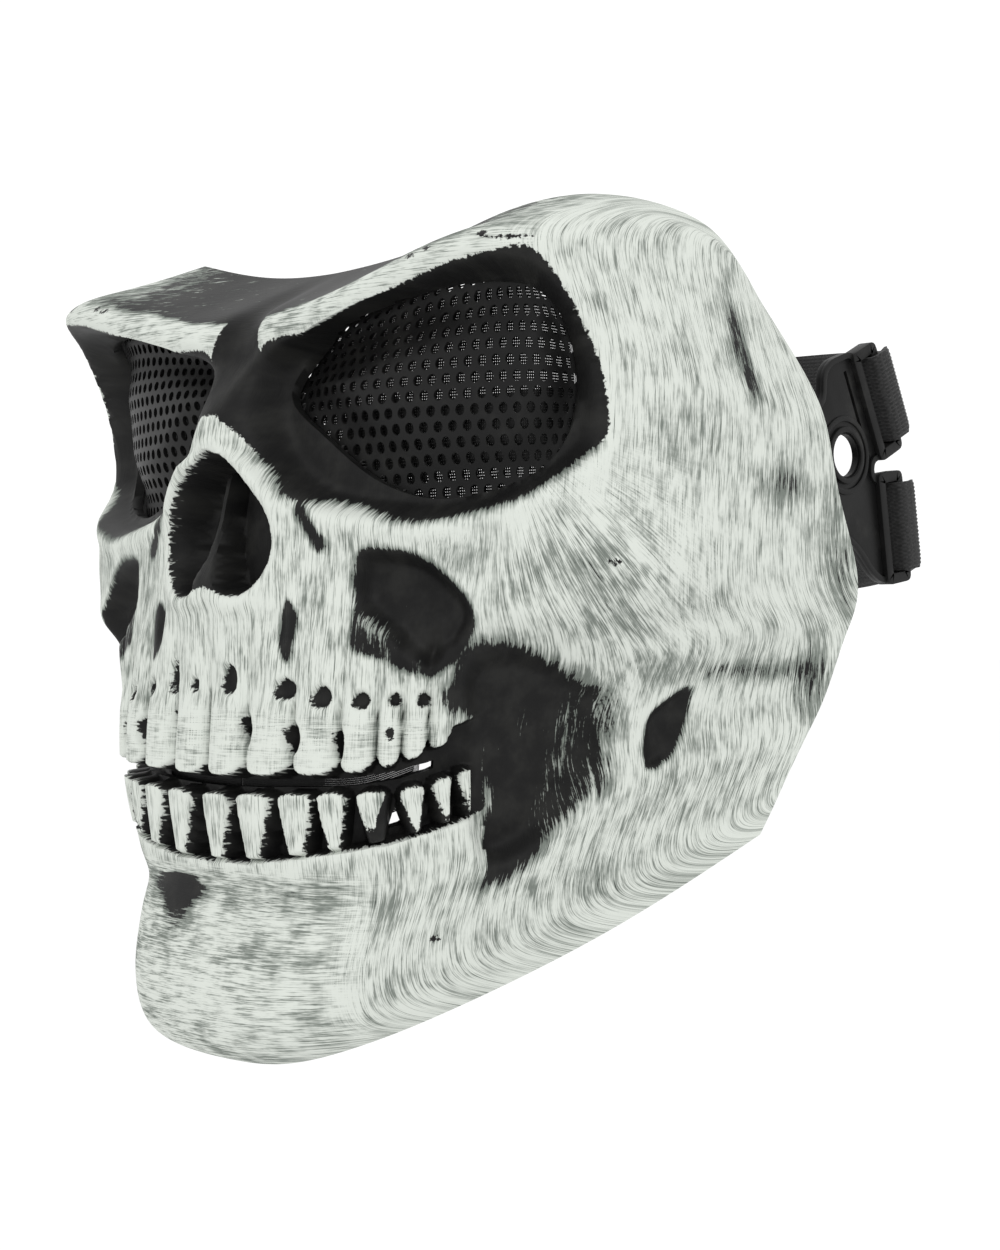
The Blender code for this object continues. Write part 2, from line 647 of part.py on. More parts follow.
def build_anchor(plastic):
    """The anchor plate with its eye and two slotted loops, for the wearer's left."""
    face, back = PLATE_FACE, PLATE_FACE - PLATE_THICK
    anchor = prism("strap_anchor_left", PLATE_OUTLINE, back, face, plastic)
    middle = (face + back) / 2
    for loop in LOOPS:
        length, depth = LOOPS[loop][3:]
        outline = loop_box(loop, 0, depth, 0, length)
        frame = prism("frame", outline, middle - FRAME_THICK / 2, middle + FRAME_THICK / 2, plastic)
        combine(anchor, frame, "UNION")
    for loop in LOOPS:
        length, depth = LOOPS[loop][3:]
        trim = (length - STRAP_WIDE) / 2 - GAP
        slot = loop_box(loop, BAR, depth - BAR, trim, length - trim)
        combine(anchor, prism("slot", slot, back - 5, face + 5, plastic), "DIFFERENCE")
    eye_y, eye_z, radius = PLATE_EYE
    combine(anchor, prism("eye", disc(eye_y, eye_z, radius), back - 5, face + 5, plastic), "DIFFERENCE")
    hole = disc(RIVET_AT[0], RIVET_AT[1], 2.2 + GAP)
    combine(anchor, prism("hole", hole, back - 5, face + 5, plastic), "DIFFERENCE")
    return anchor


def build_rivet(steel):
    """A plain rivet: a head inside the plate and a shank through it."""
    back = PLATE_FACE - PLATE_THICK - GAP
    rivet = prism("anchor_rivet_left", disc(*RIVET_AT, 4.0, 16), back - 1.6, back, steel)
    shank = prism("shank", disc(*RIVET_AT, 2.2, 16), back - 0.8, PLATE_FACE + 0.6, steel)
    combine(rivet, shank, "UNION")
    return rivet


def strap_line(loop):
    """Middle line of one strap: points, width directions, from the left tail to the right tail."""
    foot, rear, bar = loop_axes(loop)
    length, depth = LOOPS[loop][3:]
    middle = PLATE_FACE - PLATE_THICK / 2
    clear = GAP + STRAP_THICK / 2
    inside = middle - FRAME_THICK / 2 - clear
    outside = middle + FRAME_THICK / 2 + clear
    turn = depth - BAR - clear
    local = [(depth + 4.6, inside), (depth - BAR + 0.3, inside), (turn + 0.15, inside + 0.45)]
    local += [(turn, inside + 1.3), (turn, outside - 1.3), (turn + 0.15, outside - 0.45)]
    local += [(depth - BAR + 0.3, outside), (depth + 1.6, outside)]
    local.append((depth + 3.8, outside - 1.4))
    points, wide = [], []
    for r, x in local:
        y, z = foot + rear * r + bar * (length / 2)
        points.append((x, y, z))
        wide.append((0, bar[0], bar[1]))
    start = np.array(points[-1])
    goal = np.array([0.0, *STRAP_BACK[loop]])
    first = start + np.array([-15.0, 17.0, 0.0])
    second = np.array([44.0, goal[1], goal[2]])
    for k in range(1, 15):
        t = k / 14
        spot = start * (1 - t) ** 3 + first * 3 * t * (1 - t) ** 2
        spot = spot + second * 3 * t * t * (1 - t) + goal * t ** 3
        lean = np.array([0, bar[0] * (1 - ease(k / 10)), bar[1]])
        points.append(tuple(spot))
        wide.append(tuple(lean / np.linalg.norm(lean)))
    for point, lean in list(zip(points, wide))[-2::-1]:
        points.append((-point[0], point[1], point[2]))
        wide.append(lean)
    return np.array(points), np.array(wide)


def build_strap(loop, webbing):
    """A flat band swept along its middle line, square to it."""
    line, wide = strap_line(loop)
    ahead = np.gradient(line, axis=0)
    across = np.cross(ahead, wide)
    across = across / np.linalg.norm(across, axis=1, keepdims=True)
    half_w = wide * STRAP_WIDE / 2
    half_t = across * STRAP_THICK / 2
    points, faces = [], []
    for p, w, t in zip(line, half_w, half_t):
        points += [p - w - t, p + w - t, p + w + t, p - w + t]
    for i in range(len(line) - 1):
        for k in range(4):
            j = (k + 1) % 4
            faces.append((4 * i + k, 4 * i + j, 4 * i + 4 + j, 4 * i + 4 + k))
    last = 4 * (len(line) - 1)
    faces.append((3, 2, 1, 0))
    faces.append((last, last + 1, last + 2, last + 3))
    return new_object("strap_" + loop, points, faces, webbing)


def clear():
    for obj in list(bpy.data.objects):
        bpy.data.objects.remove(obj)


def main():
    clear()
    bone = material("bone_paint", (0.62, 0.63, 0.58), 0.6, 0.0)
    steel = material("black_steel", (0.02, 0.02, 0.02), 0.4, 0.6)
    rivet_steel = material("rivet_steel", (0.25, 0.25, 0.26), 0.4, 0.9)
    plastic = material("black_plastic", (0.018, 0.018, 0.018), 0.45, 0.0)
    webbing = material("black_webbing", (0.012, 0.012, 0.012), 0.85, 0.0)
    build_shell(bone)
    mirrored(build_eye(steel), "eye_mesh_right")
    mirrored(build_anchor(plastic), "strap_anchor_right")
    mirrored(build_rivet(rivet_steel), "anchor_rivet_right")
    for loop in LOOPS:
        build_strap(loop, webbing)


main()
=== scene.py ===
"""Dresses the skull mask: brushed paint, fine eye sheets, moulded anchors, ribbed webbing and a plain studio.

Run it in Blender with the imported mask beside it. Sizes in the tables are in millimetres on the
mask as worn: x to the wearer's left, y back and z up. They are measured from a point on the
middle plane behind the mouth, and turned into metres round the seat on the nose bridge.
"""
import math

import bmesh
import bpy
import numpy as np
from mathutils import Matrix, Vector


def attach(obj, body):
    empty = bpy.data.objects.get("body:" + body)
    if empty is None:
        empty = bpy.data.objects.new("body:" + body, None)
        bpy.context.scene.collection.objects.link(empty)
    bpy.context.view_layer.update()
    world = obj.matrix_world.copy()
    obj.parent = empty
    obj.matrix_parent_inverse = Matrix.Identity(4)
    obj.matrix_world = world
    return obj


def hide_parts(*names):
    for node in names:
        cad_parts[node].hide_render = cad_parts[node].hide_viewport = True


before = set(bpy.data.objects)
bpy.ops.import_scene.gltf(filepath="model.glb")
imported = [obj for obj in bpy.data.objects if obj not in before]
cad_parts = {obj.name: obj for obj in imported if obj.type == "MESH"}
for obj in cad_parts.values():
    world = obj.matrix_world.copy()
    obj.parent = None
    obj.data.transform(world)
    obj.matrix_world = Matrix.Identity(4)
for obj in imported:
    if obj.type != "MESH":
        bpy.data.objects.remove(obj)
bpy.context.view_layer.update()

bl_info = {
    "name": "Skull mask",
    "version": (1, 0, 0),
    "blender": (4, 5, 0),
    "location": "View3D > Sidebar > Mask",
    "description": "Builds the painted shell, eye sheets, anchors, straps and studio of a skull mask",
    "category": "Object",
}

MM = 0.001
SEAT = np.array([0.0, -74.0, 50.0])
# Thickness of the shell and the gap between pieces that touch.
WALL = 2.3
GAP = 0.35
# The camera: its distance and turn round the mask. Its focal length, the frame's height and how far
# the view is raised are in pixels.
VIEW_DISTANCE = 515.0
VIEW_TURN = math.radians(45)
VIEW_ZOOM = 2162.0
VIEW_TALL = 1250.0
VIEW_RAISE = 10.0
# Height of the camera's sensor in millimetres.
SENSOR = 36

# The skin as sections from the lower rim to the upper rim. Each row has six
# points from the middle to the rear edge, each across, back and up.
STATIONS = (0.0, 0.13, 0.30, 0.50, 0.74, 1.0)
SECTIONS = (
    # middle, front, corner, cheek, side, rear edge
    ((0, -80, -90), (14, -78, -89.3), (27, -69, -85.3), (36, -52, -79), (54, -24, -64), (74.5, 4.7, -43)),
    ((0, -90, -85), (14, -89, -84.5), (27, -81.6, -82), (38, -61, -73), (56, -26, -56), (76, 7.5, -37)),
    ((0, -92, -74), (15, -91, -73), (27.6, -85.2, -71), (40, -67, -64), (58, -30, -48), (77.5, 10, -31)),
    ((0, -87, -58), (17, -86, -58), (32, -80, -56), (45, -64, -50), (62, -32, -36), (80, 14, -22)),
    ((0, -87.5, -34), (20, -86, -34), (38, -80, -33), (51, -66, -28), (67, -32, -20), (82.5, 18, -12)),
    ((0, -86.5, -12), (20, -85, -12), (40, -79, -11), (56, -65, -8), (74, -33, -4), (84.5, 22, 0)),
    ((0, -87.5, 8), (20, -83.5, 8), (48, -75, 9), (76, -60, 10), (86, -25, 11), (85.5, 24.7, 14)),
    ((0, -86.5, 24), (20, -82, 24), (50, -74, 25), (78.5, -58, 26), (87, -22, 27), (85, 19.5, 29)),
    ((0, -81, 48), (20, -80, 48), (50, -74, 48), (79, -57, 48), (87, -20, 47), (83.5, 16.5, 45)),
    ((0, -78, 60), (22, -78, 62), (52, -75, 66), (79, -62, 66), (86, -22, 61), (80.5, 9, 60)),
    ((0, -77.5, 66), (24, -78, 66.5), (54, -75.5, 74), (78, -65.5, 75.5), (84, -25, 76), (78, 0.2, 71.3)),
    ((0, -69, 72), (22, -69, 72.6), (50, -64, 80), (75, -54, 84), (79, -25, 84), (77, -4, 77)),
    ((0, -52, 80), (24, -50, 82), (47, -48, 87), (64, -38, 90.4), (73, -18, 87.8), (76, -7.3, 81.2)),
)

# Outlines of hollows on one half: distance round the face from the middle, height.
ORBIT = (
    (7.5, 57), (20, 61.5), (35, 65), (49, 68.4), (62, 71.5), (72, 73), (80, 71), (84, 65), (88, 54),
    (90, 44), (90, 37), (86, 32), (78, 28), (66, 24), (54, 22), (43, 22.5), (32, 24), (23, 26.8),
    (17, 31), (12, 36.5), (7.5, 44), (6, 51),
)
EYE_OPENING = (
    (10.6, 52), (17.2, 59.7), (28.8, 64.2), (40.4, 67), (54, 69), (67.8, 69.2), (81.6, 65.5),
    (86.2, 53.4), (86.2, 46.5), (80.6, 35.5), (65, 28.5), (52.2, 27.3), (36.2, 32.2), (19.8, 43.2),
)
NOSE = (
    (0, 38.5), (4, 37.2), (8.5, 34), (12.5, 30), (15.7, 26), (17.6, 21), (17.6, 16.5), (15.8, 12.4),
    (12.2, 9), (8.4, 8), (4, 9), (0, 10),
)
FOSSA = (
    (38, 6), (37.5, 11), (39.4, 16.6), (45, 17.4), (51, 16.4), (56, 14.3), (60, 11), (63.6, 7.6),
    (65, 4), (63, -0.5), (59.5, -4.4), (55.4, -7), (51.5, -5.4), (46, -1),
)
HOLLOW = (
    (61, -6), (68, -1.2), (77, -1.6), (86, -5), (94, -9.5), (97, -18), (95, -28), (88, -38), (78, -46),
    (67, -48.5), (61.5, -41), (63, -29), (61.5, -17),
)
RAMUS = ((114, -11), (109, -13), (105, -16.5), (104, -21), (104.6, -28), (108, -27), (113, -22), (115, -15))
TOOTH_GAPS = (((31.8, -38.2), (29.8, -42.6), (33.4, -42.2)), ((48.2, -34.6), (46.2, -39.2), (49.6, -38.4)))

# Depths of the floors of the eye hollow, the nose opening and the mouth.
ORBIT_FLOOR = 7.5
NOSE_FLOOR = 9.0
MOUTH_FLOOR = 5.2
# Lip round the eye hollow: height, distance outside the outline, half width.
ORBIT_LIP = (0.9, 1.5, 2.5)
ORBIT_SLOPE = 5.5

# Crests: distance round, height.
BROW_CREST = ((9, 63.5), (20, 66.5), (36, 70.5), (50, 73.5), (62, 75.8), (72, 77), (80, 75.5))
ARCH_CREST = ((66, 4), (76, 3.5), (86, 0.5), (95, -3.5), (103, -4.5), (112, -3), (124, 0), (138, 2))
# Height and half width of each crest.
CREST_SIZES = ((BROW_CREST, 1.5, 3.6), (ARCH_CREST, 1.6, 4.5))
# Soft dents: distance round, height, half width, half height, depth.
DENTS = (
    (0, 69, 5.5, 6.5, 3.4), (118, -19, 22, 9, 1.3), (20.5, 2, 1.6, 5.5, 1.4), (54, 8, 5, 4, 2.0),
)
# Hollows with a floor: outline, depth, width of the slope, how far it spreads past the outline.
HOLLOWS = ((HOLLOW, 5.4, 6.5, 0.0), (FOSSA, 4.6, 4.2, 0.1), (RAMUS, 2.4, 2.6, 0.15))
# Fold over the chin: height, half height, depth, distance round where it ends, its fade.
CHIN_FOLD = (-53, 4, 1.2, 50, 14)
# Cells lie closer together round one place: that place, half width, gain.
PACKED_ACROSS = (0.0, 0.42, 0.9)
PACKED_UP = (0.31, 0.075, 1.3)

# The bridge of the nose: height, rise, half width.
BRIDGE = ((36, 4.0, 7.5), (40, 5.2, 6.9), (46, 5.6, 6.0), (52, 3.2, 6.0), (59, 0.0, 6.0))
# The rim and dividing wall of the nose opening: height, rim, half width and top of the wall.
SEPTUM = (
    (6, 1.4, 4.6, 1.2), (8, 1.2, 4.6, 1.2), (12, 0.8, 3.4, 0.6), (17, 0.8, 1.7, -1.8),
    (24, 1.7, 1.2, -3.4), (34, 3.2, 1.2, -4.0), (36, 3.6, 1.2, -4.0), (40, 0.0, 1.2, -4.0),
)

# Tooth rows: distance round, upper tips, upper gum, lower tops, lower gum.
BITE = (
    (0, -29.5, -13.0, -32.2, -47.0),
    (12, -29.2, -13.4, -32.0, -46.6),
    (25, -28.7, -14.0, -31.5, -45.0),
    (37, -28.3, -14.4, -30.9, -43.0),
    (45, -26.8, -14.4, -30.5, -41.6),
    (50, -25.9, -14.2, -30.0, -40.4),
    (56, -23.3, -13.8, -28.8, -38.8),
    (61, -21.0, -12.8, -27.0, -37.2),
    (67, -19.0, -12.0, -25.2, -35.6),
)
UPPER_SPLITS = (0.0, 12.0, 25.0, 36.5, 44.5, 49.8, 55.3, 60.5)
# Upper crowns: height at the sides, rise to the middle, two powers of the rounding.
CROWN = (-1.7, 3.1, 2.6, 0.7)
# Rise of the tips toward the sides of a crown and its power.
TIP_ROUND = (2.7, 3.2)
# Share of its width that a lower tooth loses toward the gum, and the power of the taper.
PEG_TAPER = (0.52, 1.25)
# Lower teeth: centre (its own side's sign), half width at the top.
LOWER_TEETH = (
    (-61, 2.4), (-55, 3.0), (-48, 3.6), (-40, 4.2), (-31, 4.4), (-21, 5.0), (-10, 5.2), (2.8, 5.0),
    (14.1, 5.4), (25.7, 5.0), (34.5, 3.9), (43.5, 4.2), (51.8, 3.3), (58.2, 2.8), (63, 2.0),
)
# Pits over and between the upper teeth: distance round (own side's sign), height, half width, half height.
PITS = (
    (7.2, -9.2, 2.0, 3.2), (22.6, -11.0, 2.4, 2.2), (32.2, -12.4, 2.2, 2.4), (41.2, -13.0, 1.8, 1.8),
    (48.2, -12.8, 1.2, 1.4), (54.0, -12.8, 1.4, 1.6), (-4.2, -10.4, 1.2, 1.6), (-13.0, -9.0, 1.4, 3.6),
    (-22.6, -11.0, 2.4, 2.2), (-32.2, -12.4, 2.2, 2.4), (-41.2, -13.0, 1.8, 1.8), (-48.2, -12.8, 1.2, 1.4),
    (12.9, -19.6, 2.0, 3.2), (25.6, -21.0, 2.3, 3.0), (36.6, -22.0, 1.3, 3.0),
    (-11.2, -17.4, 1.2, 2.4), (-25.6, -21.0, 2.3, 3.0), (-36.6, -22.0, 1.3, 3.0),
)
PIT_DEPTH = 1.7

# The anchor plate at one temple, seen from the side: back, up. It lies in one level plane.
PLATE_OUTLINE = (
    (19.6, 51), (19.8, 57.6), (22.4, 60.4), (29.2, 62.8), (32.4, 62), (43, 40), (38.8, 38.9),
    (38.8, 35.6), (42, 35.2), (45.4, 12.6), (42.4, 11.6), (38.6, 13.4), (33, 18.6), (28, 21.4),
    (17, 24.6), (8, 30), (4.4, 38), (8, 45.4), (14.5, 49),
)
# Distance of the plate's outer face from the middle plane, its thickness and its rounded corners.
PLATE_FACE = 80.2
PLATE_THICK = 2.2
PLATE_CORNER = 2.2
# Eye of the plate: back, up, radius. The rings round it: reach past its edge, height.
PLATE_EYE = (28.6, 39.8, 4.7)
EYE_RINGS = ((1.7, 0.9), (4.1, 0.5))
RIM_WIDTH = 1.3
# Groove in front of the upper loop: places behind its foot and along its bar, and the depth.
GROOVE = ((-3.2, 1.5), (-2.2, 1.5), (-2.2, 23), (-3.2, 23))
GROOVE_DEPTH = 0.9
# Rivet: back and up, radius of the shank, radius and height of the head, how far the shank stands out.
RIVET_AT = (10.0, 38.0)
RIVET_SHANK = 2.2
RIVET_HEAD = 4.0
RIVET_HEAD_TALL = 1.6
RIVET_TIP = 0.6
# Loop frames: foot of the front bar (back, up), lean of the bar in degrees, length, depth.
LOOPS = {"upper": (41.0, 38.9, 26.0, 25.8, 9.2), "lower": (43.5, 11.2, 9.0, 25.4, 9.2)}
# Rounded corners of a loop frame, its thickness and the width of its bars.
LOOP_CORNER = 1.8
FRAME_THICK = 3.4
BAR = 2.4
STRAP_WIDE = 20.0
STRAP_THICK = 1.4
# Middle of each strap behind the head: back, up.
STRAP_BACK = {"upper": (98.0, 64.0), "lower": (104.0, 21.0)}
# The strap's tail past the loop, its way from the loop and toward the middle, and the steps between.
STRAP_TAIL = 4.6
STRAP_LEAVES = (-15.0, 17.0, 0.0)
STRAP_ARRIVES = 44.0
STRAP_STEPS = 14
STRAP_LEAN_STEPS = 10
# Front of the eye plate behind the smooth skin, how far its middle bulges and over what reach.
EYE_PLATE_FRONT = ORBIT_FLOOR + WALL + 0.95
EYE_DOME = 3.4
EYE_DOME_REACH = 13.0
# Part of the face round one eye where distances round it are looked up: places across and up.
EYE_ACROSS = (0.0, 0.62, 187)
EYE_UP = (0.5, 1.0, 160)
# Distance round the face for a whole step across, and for the eye and the mouth the place up
# where their flat patterns start and the distance for a whole step up.
ROUND_STEP = 172.0
EYE_ROWS = (0.582, 186.0)
MOUTH_ROWS = (0.34, 264.0)
# Flat pattern of the eye sheet: where it starts, its width and height, sides of a cell.
SHEET_START = (5.0, -2.0)
SHEET_SIZE = (86, 66)
CELL_SIDES = 12
# Fine dark screens, painted shade for what is seen through the eye sheets and the mouth: how far behind
# the eye sheet and the shell they lie, how far past the eye opening they run, where the mouth's halves
# meet, the step along a thread, its depth and the gap between layers.
EYE_SHADE_SCREEN_BEHIND = 1.5
MOUTH_SHADE_SCREEN_BEHIND = 2.4
EYE_SHADE_SCREEN_REACH = 2.2
MOUTH_SHADE_SCREEN_MIDDLE = 0.2
THREAD_STEP = 2.5
THREAD_DEEP = 0.1
LAYER_GAP = 0.14


def spline(knots, values, at):
    """A natural cubic curve through the values, read at the given places."""
    knots = np.asarray(knots, float)
    values = np.asarray(values, float)
    at = np.asarray(at, float)
    count = len(knots)
    step = np.diff(knots)
    system = np.eye(count)
    right = np.zeros((count, values.shape[1]))
    slope = np.diff(values, axis=0) / step[:, None]
    for i in range(1, count - 1):
        system[i, i - 1:i + 2] = (step[i - 1], 2 * (step[i - 1] + step[i]), step[i])
        right[i] = 6 * (slope[i] - slope[i - 1])
    bend = np.linalg.solve(system, right)
    i = np.clip(np.searchsorted(knots, at, side="right") - 1, 0, count - 2)
    h = step[i][:, None]
    a = (knots[i + 1] - at)[:, None] / h
    b = 1 - a
    curve = ((a ** 3 - a) * bend[i] + (b ** 3 - b) * bend[i + 1]) * h * h / 6
    return a * values[i] + b * values[i + 1] + curve


def running(steps):
    """Running total of steps along the last axis, from nought."""
    summed = np.cumsum(steps, axis=-1)
    return np.concatenate([np.zeros_like(summed[..., :1]), summed], axis=-1)


def whole_net():
    """The section points of both halves, with their places across and up."""
    half = np.array(SECTIONS, float)
    other = half[:, :0:-1] * (-1, 1, 1)
    net = np.concatenate([other, half], axis=1)
    across = np.array([-u for u in STATIONS[:0:-1]] + list(STATIONS))
    gaps = np.linalg.norm(np.diff(half[:, 2:4].mean(axis=1), axis=0), axis=1)
    up = running(gaps)
    return across, up / up[-1], net


ACROSS, UP, NET = whole_net()


def skin(u, v):
    """Points of the smooth skin at matching places u across and v up."""
    weight_u = spline(ACROSS, np.eye(len(ACROSS)), u)
    weight_v = spline(UP, np.eye(len(UP)), v)
    return np.einsum("na,nb,bac->nc", weight_u, weight_v, NET)


def skin_normal(u, v):
    """Outward directions of the smooth skin."""
    e = 1e-3
    along_u = skin(np.clip(u + e, -1, 1), v) - skin(np.clip(u - e, -1, 1), v)
    along_v = skin(u, np.clip(v + e, 0, 1)) - skin(u, np.clip(v - e, 0, 1))
    normal = np.cross(along_u, along_v)
    return normal / np.linalg.norm(normal, axis=1, keepdims=True)


def ring(points, count=96):
    """A smooth closed outline through a short table of points."""
    table = np.array(points, float)
    wide = np.concatenate([table[-4:], table, table[:4]])
    length = running(np.linalg.norm(np.diff(wide, axis=0), axis=1))
    at = np.linspace(length[4], length[4 + len(table)], count, endpoint=False)
    return spline(length, wide, at)


def from_piece(start, end, a, z):
    """Distance of each place from one straight piece of a line."""
    (ax, az), (bx, bz) = start, end
    dx, dz = bx - ax, bz - az
    t = np.clip(((a - ax) * dx + (z - az) * dz) / (dx * dx + dz * dz), 0, 1)
    return np.hypot(a - ax - t * dx, z - az - t * dz)


def from_line(points, a, z):
    """Distance of each place from an open line."""
    table = np.array(points, float)
    return np.minimum.reduce([from_piece(start, end, a, z) for start, end in zip(table[:-1], table[1:])])


def beyond(outline, a, z):
    """How far each place lies outside an outline, negative inside."""
    far = from_line(np.concatenate([outline, outline[:1]]), a, z)
    inside = np.zeros(a.shape, bool)
    for (ax, az), (bx, bz) in zip(outline, np.roll(outline, -1, axis=0)):
        if az != bz:
            cross = (az > z) != (bz > z)
            inside ^= cross & (a < ax + (z - az) * (bx - ax) / (bz - az))
    return np.where(inside, -far, far)


def ease(x):
    """A soft step from 0 at nought to 1 at one."""
    x = np.clip(x, 0, 1)
    return x * x * (3 - 2 * x)


def bump(x):
    """A rounded rise: one in its middle, next to nothing two half widths away."""
    return np.exp(-x * x)


def columns_at(table, at):
    """Every further column of a table, read at places in its first column."""
    rows = np.array(table, float)
    return [np.interp(at, rows[:, 0], column) for column in rows.T[1:]]


def nose_relief(a, z, d):
    """The bony nose: its ridge, raised rim, deep opening and dividing wall."""
    rise, width = columns_at(BRIDGE, z)
    d = d + rise * bump(a / width) * ease((z - 35) / 6)
    rim, half, top = columns_at(SEPTUM, z)
    gone = beyond(ring_half(NOSE), a, z)
    d = d + rim * bump((gone - 1.4) / 2.2)
    d = d + (-NOSE_FLOOR - d) * ease(-gone / 1.8)
    wall = (top + NOSE_FLOOR) * ease((half + 0.8 - a) / 1.2) * ease((36.5 - z) / 3) - NOSE_FLOOR
    return np.where(gone < 0.5, np.maximum(d, wall), d)


def ring_half(points):
    """A symmetric outline from its right half, smooth over the middle."""
    table = np.array(points, float)
    left = table[-2:0:-1] * (-1, 1)
    return ring(np.concatenate([table, left]))


def across_crown(a):
    """Place across an upper crown: nought in its middle, one at its sides."""
    splits = np.array(UPPER_SPLITS)
    k = np.clip(np.searchsorted(splits, a, side="right") - 1, 0, len(splits) - 2)
    half = (splits[k + 1] - splits[k]) / 2
    return np.minimum(np.abs(a - splits[k] - half) / half, 1)


def rounded_tips(tips, q):
    """Lower edge of the upper crowns, higher toward the sides of each."""
    rise, power = TIP_ROUND
    return tips + rise * q ** power


def tooth_relief(s, a, z, d):
    """Both tooth rows: rounded upper crowns with roots, tapered lower pegs."""
    tips, gum, tops, low = columns_at(BITE, a)
    q = across_crown(a)
    sides, rise, flat, sharp = CROWN
    crown = sides + rise * np.clip(1 - q ** flat, 0, 1) ** sharp
    root = 1.3 * (1 - q ** 2) - 0.5
    over = ease((z - gum + 3) / 6)
    shape = crown * (1 - over) + root * over * ease((9 - z) / 14)
    d = d + shape * ease((60.5 - a) / 2) * ease((z - tips + 3) / 2)
    mouth = ease((rounded_tips(tips, q) - z) / 1.2 + 0.5) * ease((z - low) / 1.4 + 0.5) * ease((69.5 - a) / 6)
    d = d + (-MOUTH_FLOOR - d) * mouth
    taper, power = PEG_TAPER
    for centre, wide in LOWER_TEETH:
        t = np.clip((tops - z) / (tops - low), 0, 1)
        reach = wide * (1 - taper * t ** power)
        q = np.clip(np.abs(s - centre) / reach, 0, 1)
        peg = ease((reach - np.abs(s - centre)) / 1.1 + 0.35) * ease(tops - 1.5 * q ** 3 - z + 0.2)
        peg = np.where(z > low - 2, peg, 0)
        raised = (MOUTH_FLOOR + 0.7 - 1.3 * q ** 2) * peg * mouth - MOUTH_FLOOR
        d = np.where(mouth > 0, np.maximum(d, raised), d)
    for where, height, wide, tall in PITS:
        r = np.hypot((s - where) / wide, (z - height) / tall)
        d = d - PIT_DEPTH * ease((1.25 - r) / 0.6)
    return d


def relief(s, z):
    """How far the moulded surface stands out from the smooth skin."""
    a = np.abs(s)
    d = np.zeros_like(a)
    for crest, height, half in CREST_SIZES:
        d = d + height * bump(from_line(crest, a, z) / half)
    for where, height, wide, tall, depth in DENTS:
        d = d - depth * bump(np.hypot((a - where) / wide, (z - height) / tall))
    fold, tall, depth, reach, fade = CHIN_FOLD
    d = d - depth * bump((z - fold) / tall) * ease((reach - a) / fade)
    for outline, depth, slope, spread in HOLLOWS:
        d = d - depth * ease(spread - beyond(ring(outline), a, z) / slope)
    orbit = beyond(ring(ORBIT), a, z)
    height, outside, half = ORBIT_LIP
    d = d + height * bump((orbit - outside) / half)
    floor = np.maximum(beyond(ring(EYE_OPENING), a, z), 0)
    slope = np.minimum(ORBIT_SLOPE, 0.9 * (np.maximum(-orbit, 0) + floor) + 0.3)
    d = d + (-ORBIT_FLOOR - d) * ease(-orbit / slope)
    d = nose_relief(a, z, d)
    return tooth_relief(s, a, z, d)


def openings(s, z):
    """Distance outside the nearest opening cut through the shell, negative inside it."""
    a = np.abs(s)
    eye = beyond(ring(EYE_OPENING), a, z)
    tips, tops = columns_at(BITE, a)[::2]
    middle = np.minimum((tips + tops) / 2 - 0.1, tops + 2.2)
    slot = np.maximum(np.abs(z - middle) - 0.85, a - 57.5)
    best = np.minimum(eye, slot)
    for corners in TOOTH_GAPS:
        best = np.minimum(best, beyond(np.array(corners, float), a, z))
    return best


def lift(u, v):
    """Skin points and their level outward directions."""
    level = skin_normal(u, v) * (1, 1, 0)
    return skin(u, v), level / np.linalg.norm(level, axis=1, keepdims=True)


def packed(start, end, cells, packing):
    """Places of the edges of a row of cells, closer together round one place."""
    middle, half, gain = packing
    even = np.linspace(start, end, 401)
    dense = 1 + gain * bump((even - middle) / half)
    run = running((dense[1:] + dense[:-1]) / 2)
    return np.interp(np.linspace(0, 1, cells + 1) * run[-1], run, even)


def grid(columns, rows):
    """Matching places over the face, with the cells packed at the teeth."""
    return np.meshgrid(packed(-1, 1, columns, PACKED_ACROSS), packed(0, 1, rows, PACKED_UP))


def rounds(uu, vv):
    """Distance round the face from the middle, along each row."""
    point = skin(uu.ravel(), vv.ravel()).reshape(uu.shape + (3,))
    s = running(np.linalg.norm(np.diff(point, axis=1), axis=2))
    return s - s[:, [uu.shape[1] // 2]], point


def snap(uu, vv):
    """Slides the cells beside an opening on to its edge."""
    s, point = rounds(uu, vv)
    far = openings(s, point[..., 2])
    pick = np.zeros(far.shape, bool)
    for axis in (0, 1):
        one = np.take(far, range(far.shape[axis] - 1), axis=axis)
        two = np.take(far, range(1, far.shape[axis]), axis=axis)
        crossing = (one < 0) != (two < 0)
        first = crossing & (np.abs(one) <= np.abs(two))
        second = crossing & ~first
        if axis == 0:
            pick[:-1] |= first
            pick[1:] |= second
        else:
            pick[:, :-1] |= first
            pick[:, 1:] |= second
    slope_v, slope_u = np.gradient(far)
    size = np.maximum(slope_u ** 2 + slope_v ** 2, 1e-9)
    step_u = np.clip(-far * slope_u / size, -0.5, 0.5) * pick
    step_v = np.clip(-far * slope_v / size, -0.5, 0.5) * pick
    du = np.gradient(uu, axis=1)
    dv = np.gradient(vv, axis=0)
    ds = np.gradient(s, axis=1)
    new_u = np.clip(uu + step_u * du, -1, 1)
    new_v = np.clip(vv + step_v * dv, 0, 1)
    side = np.where(pick, 0, np.sign(far)).astype(int)
    return new_u, new_v, s + step_u * ds, side


def beside(field, axis, steps=1):
    """The field moved some cells each way along an axis, its border values held."""
    pad = [(steps, steps) if i == axis else (0, 0) for i in (0, 1)]
    wide = np.pad(field, pad, mode="edge")
    size = field.shape[axis]
    return [np.take(wide, range(start, start + size), axis=axis) for start in (0, 2 * steps)]


